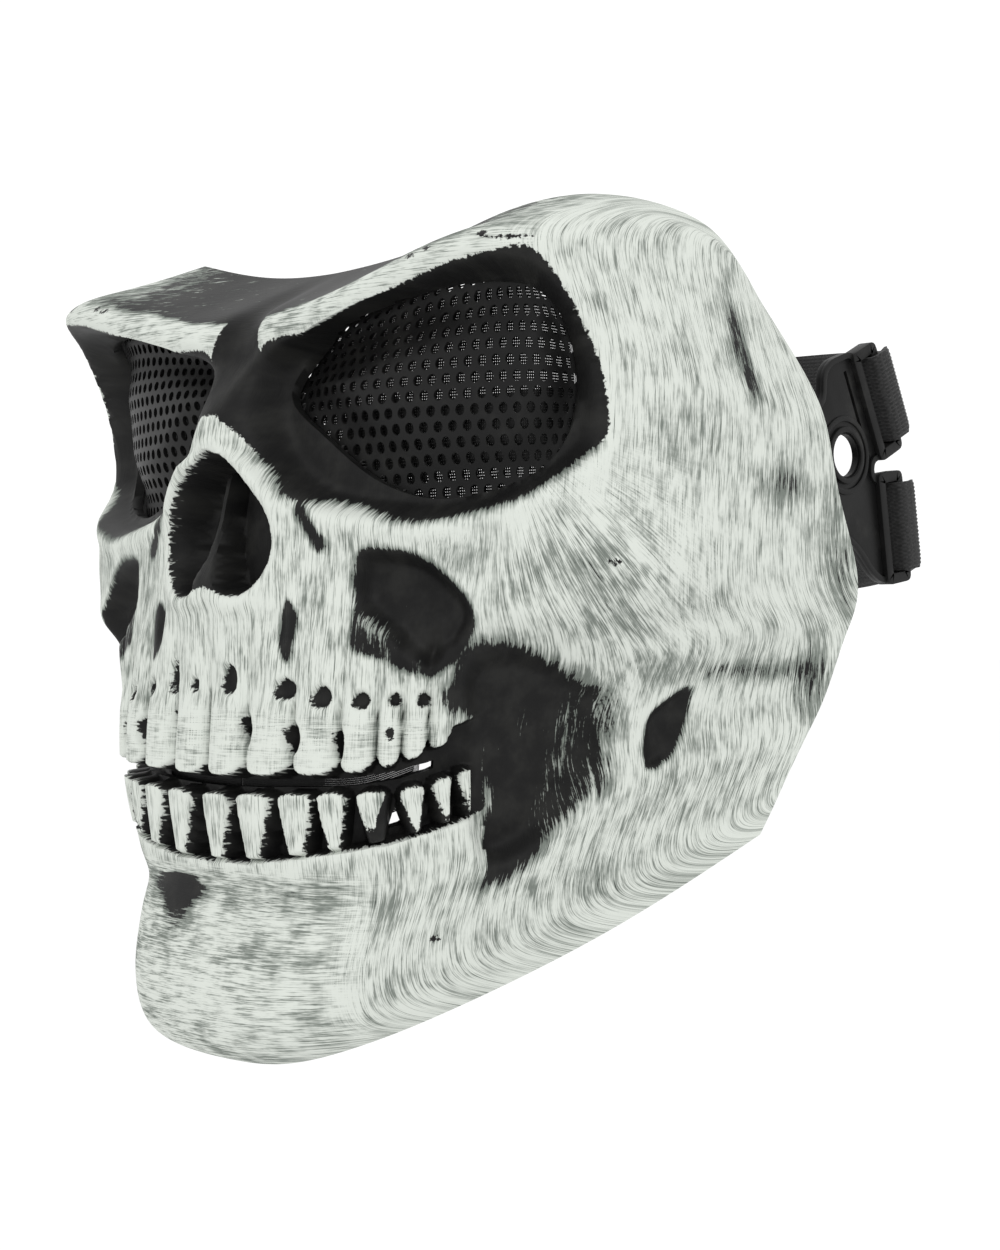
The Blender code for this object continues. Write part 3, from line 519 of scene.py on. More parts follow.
def blurred(field, reach, weight=2):
    """A field averaged with its neighbours a few times."""
    for axis in (0, 1):
        for _ in range(reach):
            before, after = beside(field, axis)
            field = (before + weight * field + after) / (weight + 2)
    return field


def soften(field, reach):
    """The lowest value near each cell, then blurred over the same reach."""
    for axis in (0, 1):
        moved = [beside(field, axis, k) for k in range(1, reach + 1)]
        field = np.minimum.reduce([field, *(one for pair in moved for one in pair)])
    return blurred(field, reach, 1)


def kept_cells(side):
    """Corner lists of the cells outside every opening."""
    rows, columns = side.shape
    cells = []
    index = np.arange(rows * columns).reshape(rows, columns)
    for i in range(rows - 1):
        for j in range(columns - 1):
            corners = (index[i, j], index[i, j + 1], index[i + 1, j + 1], index[i + 1, j])
            marks = (side[i, j], side[i, j + 1], side[i + 1, j + 1], side[i + 1, j])
            if min(marks) >= 0 and max(marks) > 0:
                cells.append(corners)
            elif max(marks) > 0:
                kept = [c for c, m in zip(corners, marks) if m >= 0]
                if len(kept) == 3:
                    cells.append(tuple(kept))
    return cells


def metres(points):
    """Places of the tables as metres in the shared frame."""
    return (np.asarray(points, float) - SEAT) * MM


def deselect():
    """Leaves nothing selected."""
    bpy.ops.object.select_all(action="DESELECT")


def choose(obj):
    """Makes one object the selected and active one."""
    deselect()
    obj.select_set(True)
    bpy.context.view_layer.objects.active = obj


def mesh_object(name, points, faces):
    """A named mesh object from table places."""
    mesh = bpy.data.meshes.new(name)
    mesh.from_pydata(metres(points).tolist(), [], [tuple(int(i) for i in f) for f in faces])
    obj = bpy.data.objects.new(name, mesh)
    bpy.context.collection.objects.link(obj)
    return obj


def drop_loose(obj):
    """Removes points without faces and turns the faces outward."""
    work = bmesh.new()
    work.from_mesh(obj.data)
    bmesh.ops.delete(work, geom=[v for v in work.verts if not v.link_faces], context="VERTS")
    bmesh.ops.recalc_face_normals(work, faces=work.faces)
    work.to_mesh(obj.data)
    work.free()


def closed_from_skin(outer, inner, cells):
    """Closes an outer and an inner sheet of the same cells with side walls."""
    count = len(outer)
    points = np.concatenate([outer, inner])
    faces = [tuple(c) for c in cells]
    faces += [tuple(i + count for i in reversed(c)) for c in cells]
    seen = set()
    for cell in cells:
        seen.update(zip(cell, cell[1:] + cell[:1]))
    for a, b in seen:
        if (b, a) not in seen:
            faces.append((b, a, a + count, b + count))
    return points, faces


def point_value(obj, name, values):
    """Stores one number for each point of a mesh."""
    layer = obj.data.attributes.new(name, "FLOAT", "POINT")
    layer.data.foreach_set("value", np.asarray(values, np.float32))


def flat_map(obj, name, places):
    """A UV map from one place for each point, in hundreds of millimetres."""
    layer = obj.data.uv_layers.new(name=name)
    corner = np.zeros(len(obj.data.loops), np.int32)
    obj.data.loops.foreach_get("vertex_index", corner)
    layer.data.foreach_set("uv", (np.asarray(places, np.float32)[corner] / 100).ravel())


def smooth(obj, degrees):
    """Smooth shading but for edges sharper than an angle."""
    choose(obj)
    bpy.ops.object.shade_smooth_by_angle(angle=math.radians(degrees))


def finish_piece(obj, slot, *nodes):
    """Seats a finished piece on the mask's one body in place of its plain solids."""
    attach(obj, "root")
    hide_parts(*nodes)


# Bare patches of the paint with a sharp edge: outline of one half.
EYE_BARE = (
    (6, 43), (1.5, 47), (6, 55), (9.5, 60.5), (20, 61.9), (35, 65.6), (49, 68.8), (62, 72.3), (73, 74),
    (79, 73.8), (82.8, 69), (85.3, 62.6), (87.3, 57), (89, 51.4), (90.2, 44.7), (90.2, 38.5),
    (86.5, 35), (81.3, 31.2), (74, 26.1), (66, 24), (57.7, 22.4), (48.6, 22.4), (41.5, 24.6),
    (34, 27), (27, 27.5), (23, 26.6), (17, 32.4), (11, 38.4),
)
BRIDGE_BARE = ((0, 46), (4, 46.5), (7.5, 53), (8.2, 60), (7.2, 63), (6.6, 67), (7.5, 71), (7, 80), (0, 84))
# Bare patches with brushed edges.
SIDE_STREAK = ((23, 27.5), (25.5, 26), (28, 22), (30.6, 17.5), (29.4, 17), (26, 21), (23.6, 24.6))
GROOVE_BARE = ((22.2, 7), (24.4, 4.5), (24.2, -1), (22.8, -5.4), (21, -3), (20.6, 2), (21, 5.4))
FOSSA_BARE = (
    (38.4, -3), (37.8, 4), (37.5, 11), (38.8, 16.6), (45, 17.6), (51, 16.6), (56, 14.3), (60, 11),
    (63.6, 7.6), (65.2, 4), (63.6, -1), (60, -5.4), (55.6, -8.4), (50, -7.4), (44, -5.2),
)
CHEEK_BARE = (
    (61.5, -3), (66, -1.2), (74, -1), (80, -4.5), (88, -8), (96, -9.6), (99, -16), (96.5, -23),
    (95.4, -30), (90, -36), (83, -43), (77, -48), (68, -50.5), (66, -47), (66.5, -41), (70, -34),
    (68, -28), (66.5, -21), (62, -16), (57.6, -12.5), (60.5, -6.5),
)
# Their raggedness in millimetres and how bare their middle is.
PATCHES = (
    (SIDE_STREAK, 0.7, 0.9), (FOSSA_BARE, 0.8, 1.4), (GROOVE_BARE, 0.6, 1.0),
    (CHEEK_BARE, 2.0, 1.3), (RAMUS, 0.7, 1.4),
)
# Height under which the eye hollow's edge is brushed, and how ragged it is there.
EYE_BRUSHED = (37, 1.1)
# Thin paint, and one patch of painted shade where the side turns back to the rear rim: side of the
# face (0 both), distance round, height, half width, half height, loss.
THIN_PAINT_AND_SHADE = (
    (0, 88, 10, 9, 11, 0.8), (0, 101, -5, 14, 9, 0.6), (0, 66, 12, 12, 9, 0.35),
    (0, 30, 10, 5, 12, 0.4), (0, 128, -7.5, 18, 2.6, 1.3), (0, 146, -10, 6, 9, 1.25),
    (0, 130, 62, 3.2, 8, 1.9), (0, 132, 52, 2.8, 5, 1.7), (0, 143, 32, 9, 5, 1.4),
    # The patch at 162 round and 14 up, near the rear rim, is painted shade.
    (0, 112, 38, 10, 8, 0.5), (0, 162, 14, 8, 18, 1.1), (0, 112, -34, 24, 16, 0.3),
    (0, 20, -54, 22, 4.5, 0.75), (0, 22, -66, 16, 3.0, 0.5), (-1, 12.5, -53, 8, 4.2, 2.6),
    (-1, 11, -58, 5, 7, 1.5), (0, 48, -56, 16, 9, 0.25), (0, 98, -52, 26, 4, 0.6),
    (0, 20, -88, 40, 5, 0.6), (0, 62.5, -18.5, 5, 4.5, 0.85), (0, 51, -12, 14, 2.5, 0.35),
    (-1, 40, 10, 14, 30, 0.3), (-1, 80, 0, 12, 30, 0.35), (0, 74, -62, 14, 2.5, 0.5),
)
# Paint dragged over bare patches: distance round, height, half width, half height, gain.
DRAGGED = (
    (43, -1, 6, 8, 1.35), (92, -14, 9, 9, 1.25), (88, -29, 7, 12, 1.15), (82, -38, 5, 8, 0.8),
    (66, -22, 4, 7, 0.9), (76, -16, 3.5, 8, 0.75), (52, -8, 8, 4, 0.7), (74, -2, 10, 3, 0.5),
)
# Small bare specks: distance round, height, half width, half height.
SPECKS = (
    (59, -62, 1.3, 0.8), (93.3, 14.1, 1.5, 0.7), (53.2, 74.4, 1.3, 0.6), (57.1, 75.4, 1.1, 0.6),
    (70, 77, 1.0, 1.0), (75.5, 75.9, 3.0, 0.45), (25, -23.6, 0.7, 0.5), (47.4, -19.5, 0.8, 1.5),
)
# Paint over the brow crest: distance round, height, half width.
BROW_PAINT = (
    (9.5, 64.0, 2.9), (20, 65.2, 3.0), (35, 68.7, 3.0), (49, 71.4, 2.6), (62, 74.4, 2.3), (76, 76.4, 2.3),
)
# Where that paint starts and ends round the face, and how thick it is at least.
BROW_START = 11.0
BROW_STOP = 78.0
BROW_AMOUNT = 1.25
# Paint left on the forehead above the crest: distance round, amount.
FOREHEAD = ((0, -0.8), (25, -0.7), (38, -0.45), (48, -0.1), (58, 0.35), (68, 0.8), (78, 1.2), (88, 1.5))
FULL_PAINT = 1.5
# Paint by height over the surface around: cells looked over, gain, least and most.
HOLLOW_PAINT = (5, 0.8, -0.9, 0.4)
# Paint on the teeth: middle height, half height, how far round, amount at least.
MOUTH_PAINT = (-38, 13, 68, 0.9)
# The worn lower tooth and how far its paint is worn back.
WORN_TOOTH = 43.5
WORN_BACK = 4.5
# Distance from sharp edges of the paint beyond which it no longer counts.
EDGE_REACH = 4.0
# Stored paint on the inside of the shell, which is bare.
INSIDE_PAINT = -2.0
# Middle of the fanned brush strokes on the cheekbone, where they run, and their spread in
# millimetres for each radian.
FAN_FROM = (69.3, 41.7)
FAN_OVER = (86, 8, 22, 20)
FAN_SPREAD = 34.0
# Brush strokes: pitch and length in millimetres, shift of the noise.
HAIR_STROKES = (0.30, 5.0, 0.0)
BROAD_STROKES = (1.1, 10.0, 11.0)
THIN_LINES = (0.24, 12.0, 23.0)
# Noise with no way of its own: cells in a hundred millimetres, shift of the noise.
PATCHY = ((14, 14), 5.0)
SPECKLED = ((120, 120), 9.0)
# Strength of each noise in the brushed edges, in the wander of the sharp edges and in the paint's tone.
BRUSHED_NOISE = {"hair": 2.6, "broad": 2.4, "speck": 0.7}
WANDER_NOISE = {"hair": 0.45, "speck": 1.4}
TONE_NOISE = {"hair": 1.7, "broad": 1.2, "patchy": 1.1}


def eye_bare(a, z, part):
    """Distance outside the sharp upper part (1) or the brushed lower part (-1) of the eye's bare patch."""
    return beyond(ring(EYE_BARE), a, z) + 6 * ease(part * (EYE_BRUSHED[0] - z) / 4)


def crest_paint(a, z):
    """Height and half width of the brow's paint at each place, and how far inside it the place lies."""
    crest, half = columns_at(BROW_PAINT, a)
    off = np.hypot(np.maximum(BROW_START - a, 0), z - crest)
    return crest, half, half - off - 9 * ease((a - BROW_STOP) / 4)


def paint_amount(s, z, raised):
    """How thick the brushed paint lies, less a patch of painted shade near the rear rim: below nought bare,
    above one full.
    """
    a = np.abs(s)
    amount = np.full(a.shape, FULL_PAINT)
    # Thin paint, and painted shade near the rear rim, lower the amount.
    for side, where, height, wide, tall, loss in THIN_PAINT_AND_SHADE:
        round_to = a if side == 0 else s * side
        amount = amount - loss * bump(np.hypot((round_to - where) / wide, (z - height) / tall))
    crest, half, on_crest = crest_paint(a, z)
    left = columns_at(FOREHEAD, a)[0]
    above = ease((z - crest - half + 0.6) / 1.6)
    amount = amount + (np.minimum(left, amount) - amount) * above
    for outline, ragged, bare in PATCHES:
        far = beyond(ring(outline), a, z)
        amount = np.minimum(amount, np.clip(far / ragged, -bare, FULL_PAINT))
    for where, height, wide, tall, gain in DRAGGED:
        amount = amount + gain * bump(np.hypot((a - where) / wide, (z - height) / tall))
    amount = np.minimum(amount, np.clip(eye_bare(a, z, -1) / EYE_BRUSHED[1], -1.4, FULL_PAINT))
    cells, gain, least, most = HOLLOW_PAINT
    amount = amount + np.clip(gain * (raised - blurred(raised, cells)), least, most)
    amount = np.where(on_crest > 0.3, np.maximum(amount, BROW_AMOUNT), amount)
    middle, tall, reach, least = MOUTH_PAINT
    inside_mouth = (np.abs(z - middle) < tall) & (a < reach)
    return np.where(inside_mouth, np.maximum(amount, least), amount)


def sharp_edge(s, z):
    """Distance to the nearest sharp edge of the paint in millimetres, below nought where it is bare."""
    a = np.abs(s)
    edge = np.minimum(eye_bare(a, z, 1), EDGE_REACH)
    for outline in (BRIDGE_BARE, NOSE):
        edge = np.minimum(edge, beyond(ring_half(outline), a, z))
    edge = np.maximum(edge, crest_paint(a, z)[2])
    edge = teeth_edge(s, a, z, edge)
    for where, height, wide, tall in PITS:
        t = np.clip((z - height) / tall, -1.2, 1.2)
        narrowed = wide * (1 - 0.4 * t) if height > -15 else wide * (1 + 0.5 * t)
        r = np.hypot((s - where) / narrowed, (z - height) / tall)
        edge = np.minimum(edge, (r - 0.95) * min(wide, tall))
    for where, height, wide, tall in SPECKS:
        r = np.hypot((a - where) / wide, (z - height) / tall)
        edge = np.minimum(edge, (r - 0.9) * min(wide, tall))
    return np.clip(edge, -EDGE_REACH, EDGE_REACH)


def teeth_edge(s, a, z, edge):
    """The mouth is bare but for the faces of the lower teeth."""
    tips, _, tops, low = columns_at(BITE, a)
    tips = rounded_tips(tips, across_crown(a))
    mouth = np.minimum(np.minimum(tips - z, z - low) + 0.35, 68.5 - a)
    edge = np.minimum(edge, -mouth)
    for centre, wide in LOWER_TEETH:
        t = np.clip((tops - z) / (tops - low), 0, 1)
        narrowing = 0.6 + 0.27 * ease((abs(centre) - 44) / 6)
        reach = wide * (1 - narrowing * t ** 1.25) - 0.45
        q = np.clip(np.abs(s - centre) / wide, 0, 1)
        worn = WORN_BACK * t * ease((s - centre + 3) / 5) if centre == WORN_TOOTH else 0.0
        face = np.minimum(reach - np.abs(s - centre) - worn, tops - 0.7 - 1.8 * q ** 3 - z)
        edge = np.maximum(edge, np.minimum(face, z - low + 1.4))
    for corners in TOOTH_GAPS:
        edge = np.minimum(edge, beyond(np.array(corners, float), a, z) - 0.3)
    return edge


def groove_paint_and_shade(a, z):
    """Paint lost in the grooves between the upper crowns, partly thinner paint there and partly painted shade
    in the grooves.
    """
    tips, gum = columns_at(BITE, a)[:2]
    nearest = np.min(np.abs(a[..., None] - np.array(UPPER_SPLITS)), axis=-1)
    crowns = ease((z - tips + 0.5) / 1.5) * ease((gum + 1.5 - z) / 3)
    return 0.4 * bump(nearest / 0.6) * crowns * ease((62 - a) / 2)


def stroke_ways(s, z):
    """Shares of level and of fanned strokes, the rest being upright, and the fan's own places."""
    a = np.abs(s)
    tips, gum = columns_at(BITE, a)[:2]
    level = ease((46 - a) / 14) * ease((-47 - z) / 4)
    crowns = ease((z - tips) / 2) * ease((gum - 1 - z) / 3) * ease((58 - a) / 4)
    crest = crest_paint(a, z)[0]
    level = np.maximum(level, ease((z - crest + 5) / 4) * ease((84 - a) / 14))
    level = np.maximum(level, 0.6 * crowns)
    where, height, wide, tall = FAN_OVER
    fan = np.clip(1.6 * bump(np.hypot((a - where) / wide, (z - height) / tall)), 0, 1)
    away = np.hypot(a - FAN_FROM[0], z - FAN_FROM[1])
    turn = np.arctan2(a - FAN_FROM[0], FAN_FROM[1] - z)
    return level, fan * (1 - level), np.stack([turn * FAN_SPREAD, away], axis=-1)


def build_shell(sizes, paint):
    """The moulded shell at full detail, with its paint places stored on it."""
    uu, vv = grid(sizes.columns, sizes.rows)
    uu, vv, s, side = snap(uu, vv)
    shape = uu.shape
    point, level = lift(uu.ravel(), vv.ravel())
    normal = skin_normal(uu.ravel(), vv.ravel())
    z = point[:, 2].reshape(shape)
    out = relief(s, z)
    outer = point + level * out.ravel()[:, None]
    inner = point + level * soften(out, 3).ravel()[:, None] - normal * (sizes.wall / MM)
    points, faces = closed_from_skin(outer, inner, kept_cells(side))
    shell = mesh_object("skull_shell", points, faces)
    across, fan, places = stroke_ways(s, z)
    stored = {
        # The paint is lowered in the grooves between the upper crowns, partly as painted shade.
        "paint": (paint_amount(s, z, out) - groove_paint_and_shade(np.abs(s), z), INSIDE_PAINT),
        "edge": (sharp_edge(s, z), -EDGE_REACH),
        "level_strokes": (across, 0.0),
        "fan_strokes": (fan, 0.0),
    }
    for name, (outside, inside) in stored.items():
        point_value(shell, name, np.concatenate([outside.ravel(), np.full(s.size, inside)]))
    for name, flat in (("strokes", np.stack([s, z], axis=-1)), ("fan", places)):
        flat_map(shell, name, np.tile(flat.reshape(-1, 2), (2, 1)))
    back = shell.vertex_groups.new(name="back")
    back.add(list(range(s.size, 2 * s.size)), 1.0, "REPLACE")
    drop_loose(shell)
    choose(shell)
    fewer = shell.modifiers.new("fewer_back_faces", "DECIMATE")
    fewer.vertex_group = "back"
    fewer.ratio = sizes.kept_share
    bpy.ops.object.modifier_apply(modifier=fewer.name)
    shell.vertex_groups.clear()
    smooth(shell, 60)
    shell.data.materials.append(brushed_bone(paint))
    finish_piece(shell, "bone_paint", "mask_shell")


# Places of the two inputs and of the result in a Mix node of each kind.
MIX_SOCKETS = {"FLOAT": (2, 3, 0), "RGBA": (6, 7, 2)}


def fresh_material(name):
    """A named node material, its tree and its Principled shader."""
    made = bpy.data.materials.new(name)
    made.use_nodes = True
    return made, made.node_tree, made.node_tree.nodes["Principled BSDF"]


def node(tree, kind, **settings):
    """A shader node with its settings and the values of its inputs."""
    made = tree.nodes.new("ShaderNode" + kind)
    for key, value in settings.items():
        if key.startswith("in_"):
            made.inputs[key[3:].replace("_", " ")].default_value = value
        else:
            setattr(made, key, value)
    return made


def join(tree, source, target):
    """Links a socket to an input, or stores a number or a colour there."""
    if hasattr(source, "is_output"):
        tree.links.new(source, target)
    elif target.type == "RGBA":
        target.default_value = (*source[:3], 1)
    else:
        target.default_value = source


def maths(tree, operation, one, two):
    """A Math node over sockets or numbers; gives its output."""
    made = node(tree, "Math", operation=operation)
    join(tree, one, made.inputs[0])
    join(tree, two, made.inputs[1])
    return made.outputs[0]


def total(tree, *values):
    """The sum of sockets or numbers."""
    added = values[0]
    for value in values[1:]:
        added = maths(tree, "ADD", added, value)
    return added


def smooth_step(tree, value, low, high):
    """A soft step of a socket between two values."""
    made = node(tree, "MapRange", interpolation_type="SMOOTHSTEP")
    join(tree, value, made.inputs["Value"])
    made.inputs["From Min"].default_value = low
    made.inputs["From Max"].default_value = high
    return made.outputs["Result"]


def mix(tree, kind, share, one, two):
    """A blend of two numbers or of two colours; gives its output."""
    first, second, result = MIX_SOCKETS[kind]
    made = node(tree, "Mix", data_type=kind)
    for place, value in ((0, share), (first, one), (second, two)):
        join(tree, value, made.inputs[place])
    return made.outputs[result]


def stretched_noise(tree, places, stretch, shift, detail=3.0):
    """Noise drawn out along one way of a flat map."""
    move = node(tree, "Mapping")
    move.inputs["Scale"].default_value = (*stretch, 1)
    move.inputs["Location"].default_value = (shift, shift * 1.7, 0)
    join(tree, places, move.inputs["Vector"])
    made = node(tree, "TexNoise", noise_dimensions="2D", in_Scale=1.0, in_Detail=detail, in_Roughness=0.6)
    join(tree, move.outputs[0], made.inputs["Vector"])
    return made.outputs[0]


def strokes(tree, maps, shares, fineness):
    """Brush strokes of one fineness: upright, level or fanned, by the stored shares."""
    pitch, length, shift = fineness
    fine, slow = 100 / pitch, 100 / length
    upright = stretched_noise(tree, maps["strokes"], (fine, slow), shift)
    level = stretched_noise(tree, maps["strokes"], (slow, fine), shift + 3)
    fanned = stretched_noise(tree, maps["fan"], (fine, slow), shift + 7)
    mixed = mix(tree, "FLOAT", shares["level_strokes"], upright, level)
    return mix(tree, "FLOAT", shares["fan_strokes"], mixed, fanned)


def raise_surface(tree, shader, height, strength, distance):
    """Low relief from a height."""
    raised = node(tree, "Bump", in_Strength=strength, in_Distance=distance)
    join(tree, height, raised.inputs["Height"])
    join(tree, raised.outputs[0], shader.inputs["Normal"])


def blend(tree, noises, strengths):
    """The sum of named noises about nought, each with its strength."""
    parts = []
    for name, strength in strengths.items():
        parts.append(maths(tree, "MULTIPLY", maths(tree, "SUBTRACT", noises[name], 0.5), strength))
    return total(tree, *parts)


def brushed_bone(paint):
    """Black plastic dry-brushed with off-white paint: sharp outlines, ragged strokes, fine hairlines, and
    painted sheen in lighter patches on the bare plastic.
    """
    made, tree, shader = fresh_material("brushed_bone")
    maps = {name: node(tree, "UVMap", uv_map=name).outputs[0] for name in ("strokes", "fan")}
    names = ("paint", "edge", "level_strokes", "fan_strokes")
    stored = {name: node(tree, "Attribute", attribute_name=name).outputs["Fac"] for name in names}
    noises = {
        "hair": strokes(tree, maps, stored, HAIR_STROKES),
        "broad": strokes(tree, maps, stored, BROAD_STROKES),
        "patchy": stretched_noise(tree, maps["strokes"], *PATCHY),
        "speck": stretched_noise(tree, maps["strokes"], *SPECKLED, detail=2.0),
    }
    ragged = total(tree, stored["paint"], blend(tree, noises, BRUSHED_NOISE))
    wander = total(tree, stored["edge"], blend(tree, noises, WANDER_NOISE))
    brushed = smooth_step(tree, ragged, -0.08, 0.22)
    outlined = smooth_step(tree, wander, -0.12, 0.16)
    cover = maths(tree, "MULTIPLY", brushed, outlined)
    tone = total(tree, blend(tree, noises, TONE_NOISE), maths(tree, "MULTIPLY", stored["paint"], 0.45))
    lines = smooth_step(tree, strokes(tree, maps, stored, THIN_LINES), 0.57, 0.70)
    tone = maths(tree, "SUBTRACT", tone, maths(tree, "MULTIPLY", lines, 0.55))
    body = smooth_step(tree, tone, 0.0, 0.84)
    painted = mix(tree, "RGBA", body, paint.thin_paint, paint.full_paint)
    # Lighter cloudy patches on the bare black plastic are painted sheen.
    bare = mix(tree, "RGBA", smooth_step(tree, noises["patchy"], 0.35, 0.75), paint.bare, paint.bare_sheen)
    chalk = mix(tree, "FLOAT", cover, paint.bare_roughness, paint.paint_roughness)
    join(tree, mix(tree, "RGBA", cover, bare, painted), shader.inputs["Base Color"])
    join(tree, chalk, shader.inputs["Roughness"])
    shader.inputs["Specular IOR Level"].default_value = 0.14
    height = total(tree, maths(tree, "MULTIPLY", cover, 0.5), maths(tree, "MULTIPLY", noises["hair"], 0.7))
    raise_surface(tree, shader, height, 0.4, 0.0002)
    return made


def plate_depth(far):
    """Level depth of the eye sheet's front, domed toward the middle."""
    return EYE_DOME * ease((-1.0 - far) / EYE_DOME_REACH) - EYE_PLATE_FRONT


def eye_place(u, v):
    """Skin points near one eye, their level directions and their distance outside the opening."""
    whole = np.linspace(*EYE_ACROSS)
    tall = np.linspace(*EYE_UP)
    wide, high = np.meshgrid(whole, tall)
    line = skin(wide.ravel(), high.ravel()).reshape(wide.shape + (3,))
    run = running(np.linalg.norm(np.diff(line, axis=1), axis=2))
    row = np.clip((v - tall[0]) / (tall[1] - tall[0]), 0, len(tall) - 1.001)
    column = np.clip(u / whole[1], 0, len(whole) - 1.001)
    i, j = row.astype(int), column.astype(int)
    p, q = row - i, column - j
    s = (run[i, j] * (1 - p) * (1 - q) + run[i + 1, j] * p * (1 - q)
         + run[i, j + 1] * (1 - p) * q + run[i + 1, j + 1] * p * q)
    point, level = lift(u, v)
    return point, level, beyond(ring(EYE_OPENING), s, point[:, 2])


def over_face(flat, rows):
    """Places across and up the face of the points of a flat pattern in millimetres."""
    start, step = rows
    return flat[:, 0] / ROUND_STEP, start + flat[:, 1] / step


def pierced_cells(pitch, hole):
    """Cells with a round hole in staggered rows: points, faces, cell of each face, middle of each cell."""
    places, faces, owners, centres = {}, [], [], []

    def place(x, y):
        return places.setdefault((round(x, 3), round(y, 3)), len(places))

    reach = pitch / math.sqrt(3)
    wide, tall = SHEET_SIZE
    for row in range(int(tall / (reach * 1.5))):
        for column in range(int(wide / pitch)):
            x = pitch * (column + 0.5 * (row % 2)) + SHEET_START[0]
            y = reach * 1.5 * row + SHEET_START[1]
            outer, inner = [], []
            for k in range(CELL_SIDES):
                t = math.radians(360 / CELL_SIDES * k)
                span = reach * (1.0 if k % 2 else math.cos(math.radians(30)))
                outer.append(place(x + span * math.cos(t), y + span * math.sin(t)))
                inner.append(place(x + hole / 2 * math.cos(t), y + hole / 2 * math.sin(t)))
            for k in range(CELL_SIDES):
                j = (k + 1) % CELL_SIDES
                faces.append((outer[k], outer[j], inner[j], inner[k]))
                owners.append(len(centres))
            centres.append((x, y))
    return np.array(list(places)), faces, owners, np.array(centres)


def build_eye_sheet(name, node_name, mirror, sizes):
    """A thin steel sheet of round holes, domed behind one eye opening."""
    flat, faces, owners, centres = pierced_cells(sizes.pitch / MM, sizes.hole / MM)
    far = eye_place(*over_face(centres, EYE_ROWS))[2]
    kept = [f for f, owner in zip(faces, owners) if far[owner] < sizes.flange / MM]
    point, level, far = eye_place(*over_face(flat, EYE_ROWS))
    front = point + level * plate_depth(far)[:, None]
    back = front - level * (sizes.thickness / MM)
    points, shut = closed_from_skin(front, back, kept)
    if mirror:
        points = points * (-1, 1, 1)
    sheet = mesh_object(name, points, shut)
    drop_loose(sheet)
    smooth(sheet, 35)
    finish_piece(sheet, "black_steel", node_name)
    return sheet


def eye_shade_screen_place(flat):
    """Where the dark screen of painted shade lies behind one eye sheet, and which of its points are kept."""
    point, level, far = eye_place(*over_face(flat, EYE_ROWS))
    return point, level, plate_depth(far) - EYE_SHADE_SCREEN_BEHIND, far < EYE_SHADE_SCREEN_REACH


def mouth_shade_screen_place(flat):
    """Where the dark screen of painted shade lies behind one half of the mouth, and which of its points are
    kept.
    """
    point, level = lift(*over_face(flat, MOUTH_ROWS))
    depth = np.full(len(flat), -MOUTH_FLOOR - WALL - MOUTH_SHADE_SCREEN_BEHIND)
    return point, level, depth, flat[:, 0] > MOUTH_SHADE_SCREEN_MIDDLE


# Each fine dark screen of painted shade: what places its points, and the span of its flat pattern across and
# up.
SHADE_SCREENS = {
    "eye_shade_screen_": (eye_shade_screen_place, (3, 91), (-2, 66)),
    "mouth_shade_screen_": (mouth_shade_screen_place, (0.4, 80), (-17, 8)),
}


def build_shade_screen(name, node_name, mirror, sizes, place, across, tall):
    """Fine dark crossed threads behind an opening, which let little light through: painted shade for what is
    seen through it.
    """
    pitch, thread = sizes.shade_screen_pitch / MM, sizes.shade_screen_thread / MM
    points, faces = [], []
    for layer, (run, rows) in enumerate(((across, tall), (tall, across))):
        spots = np.arange(*run, THREAD_STEP)
        flat, cells = [], []
        for row in np.arange(*rows, pitch):
            start = len(flat)
            for spot in spots:
                for edge in (row - thread / 2, row + thread / 2):
                    flat.append((edge, spot) if layer else (spot, edge))
            for a in range(start, len(flat) - 2, 2):
                cells.append((a, a + 1, a + 3, a + 2) if layer else (a, a + 2, a + 3, a + 1))
        point, level, depth, inside = place(np.array(flat))
        kept = [cell for cell in cells if inside[list(cell)].all()]
        front = point + level * (depth - LAYER_GAP * layer)[:, None]
        made, shut = closed_from_skin(front, front - level * THREAD_DEEP, kept)
        base = sum(len(p) for p in points)
        points.append(made)
        faces += [tuple(i + base for i in face) for face in shut]
    side = (-1, 1, 1) if mirror else (1, 1, 1)
    screen = mesh_object(name, np.concatenate(points) * side, faces)
    drop_loose(screen)
    finish_piece(screen, "black_steel", node_name)
    return screen


def satin_black(name, colour, worn, roughness, grain):
    """A black finish with faint grain and lighter cloudy patches of painted sheen."""
    made, tree, shader = fresh_material(name)
    places = node(tree, "TexCoord").outputs["Object"]
    cloud = node(tree, "TexNoise", in_Scale=90.0, in_Detail=4.0, in_Roughness=0.65)
    fine = node(tree, "TexNoise", in_Scale=grain, in_Detail=2.0)
    join(tree, places, cloud.inputs["Vector"])
    join(tree, places, fine.inputs["Vector"])
    painted_sheen = smooth_step(tree, cloud.outputs[0], 0.5, 0.78)
    # The lighter colour in cloudy patches is painted sheen.
    join(tree, mix(tree, "RGBA", painted_sheen, colour, worn), shader.inputs["Base Color"])
    sheen = total(tree, roughness - 0.08, maths(tree, "MULTIPLY", cloud.outputs[0], 0.16))
    join(tree, sheen, shader.inputs["Roughness"])
    raise_surface(tree, shader, fine.outputs[0], 0.2, 0.0001)
    shader.inputs["Specular IOR Level"].default_value = 0.16
    return made


def loop_axes(loop):
    """Foot, rearward direction and bar direction of a loop frame."""
    y, z, lean = LOOPS[loop][:3]
    t = math.radians(lean)
    return np.array([y, z]), np.array([math.cos(t), math.sin(t)]), np.array([-math.sin(t), math.cos(t)])


def loop_place(loop, rearward, along):
    """Back and up of a place given rearward of a loop's foot and along its bar."""
    foot, rear, bar = loop_axes(loop)
    return foot + rear * rearward + bar * along


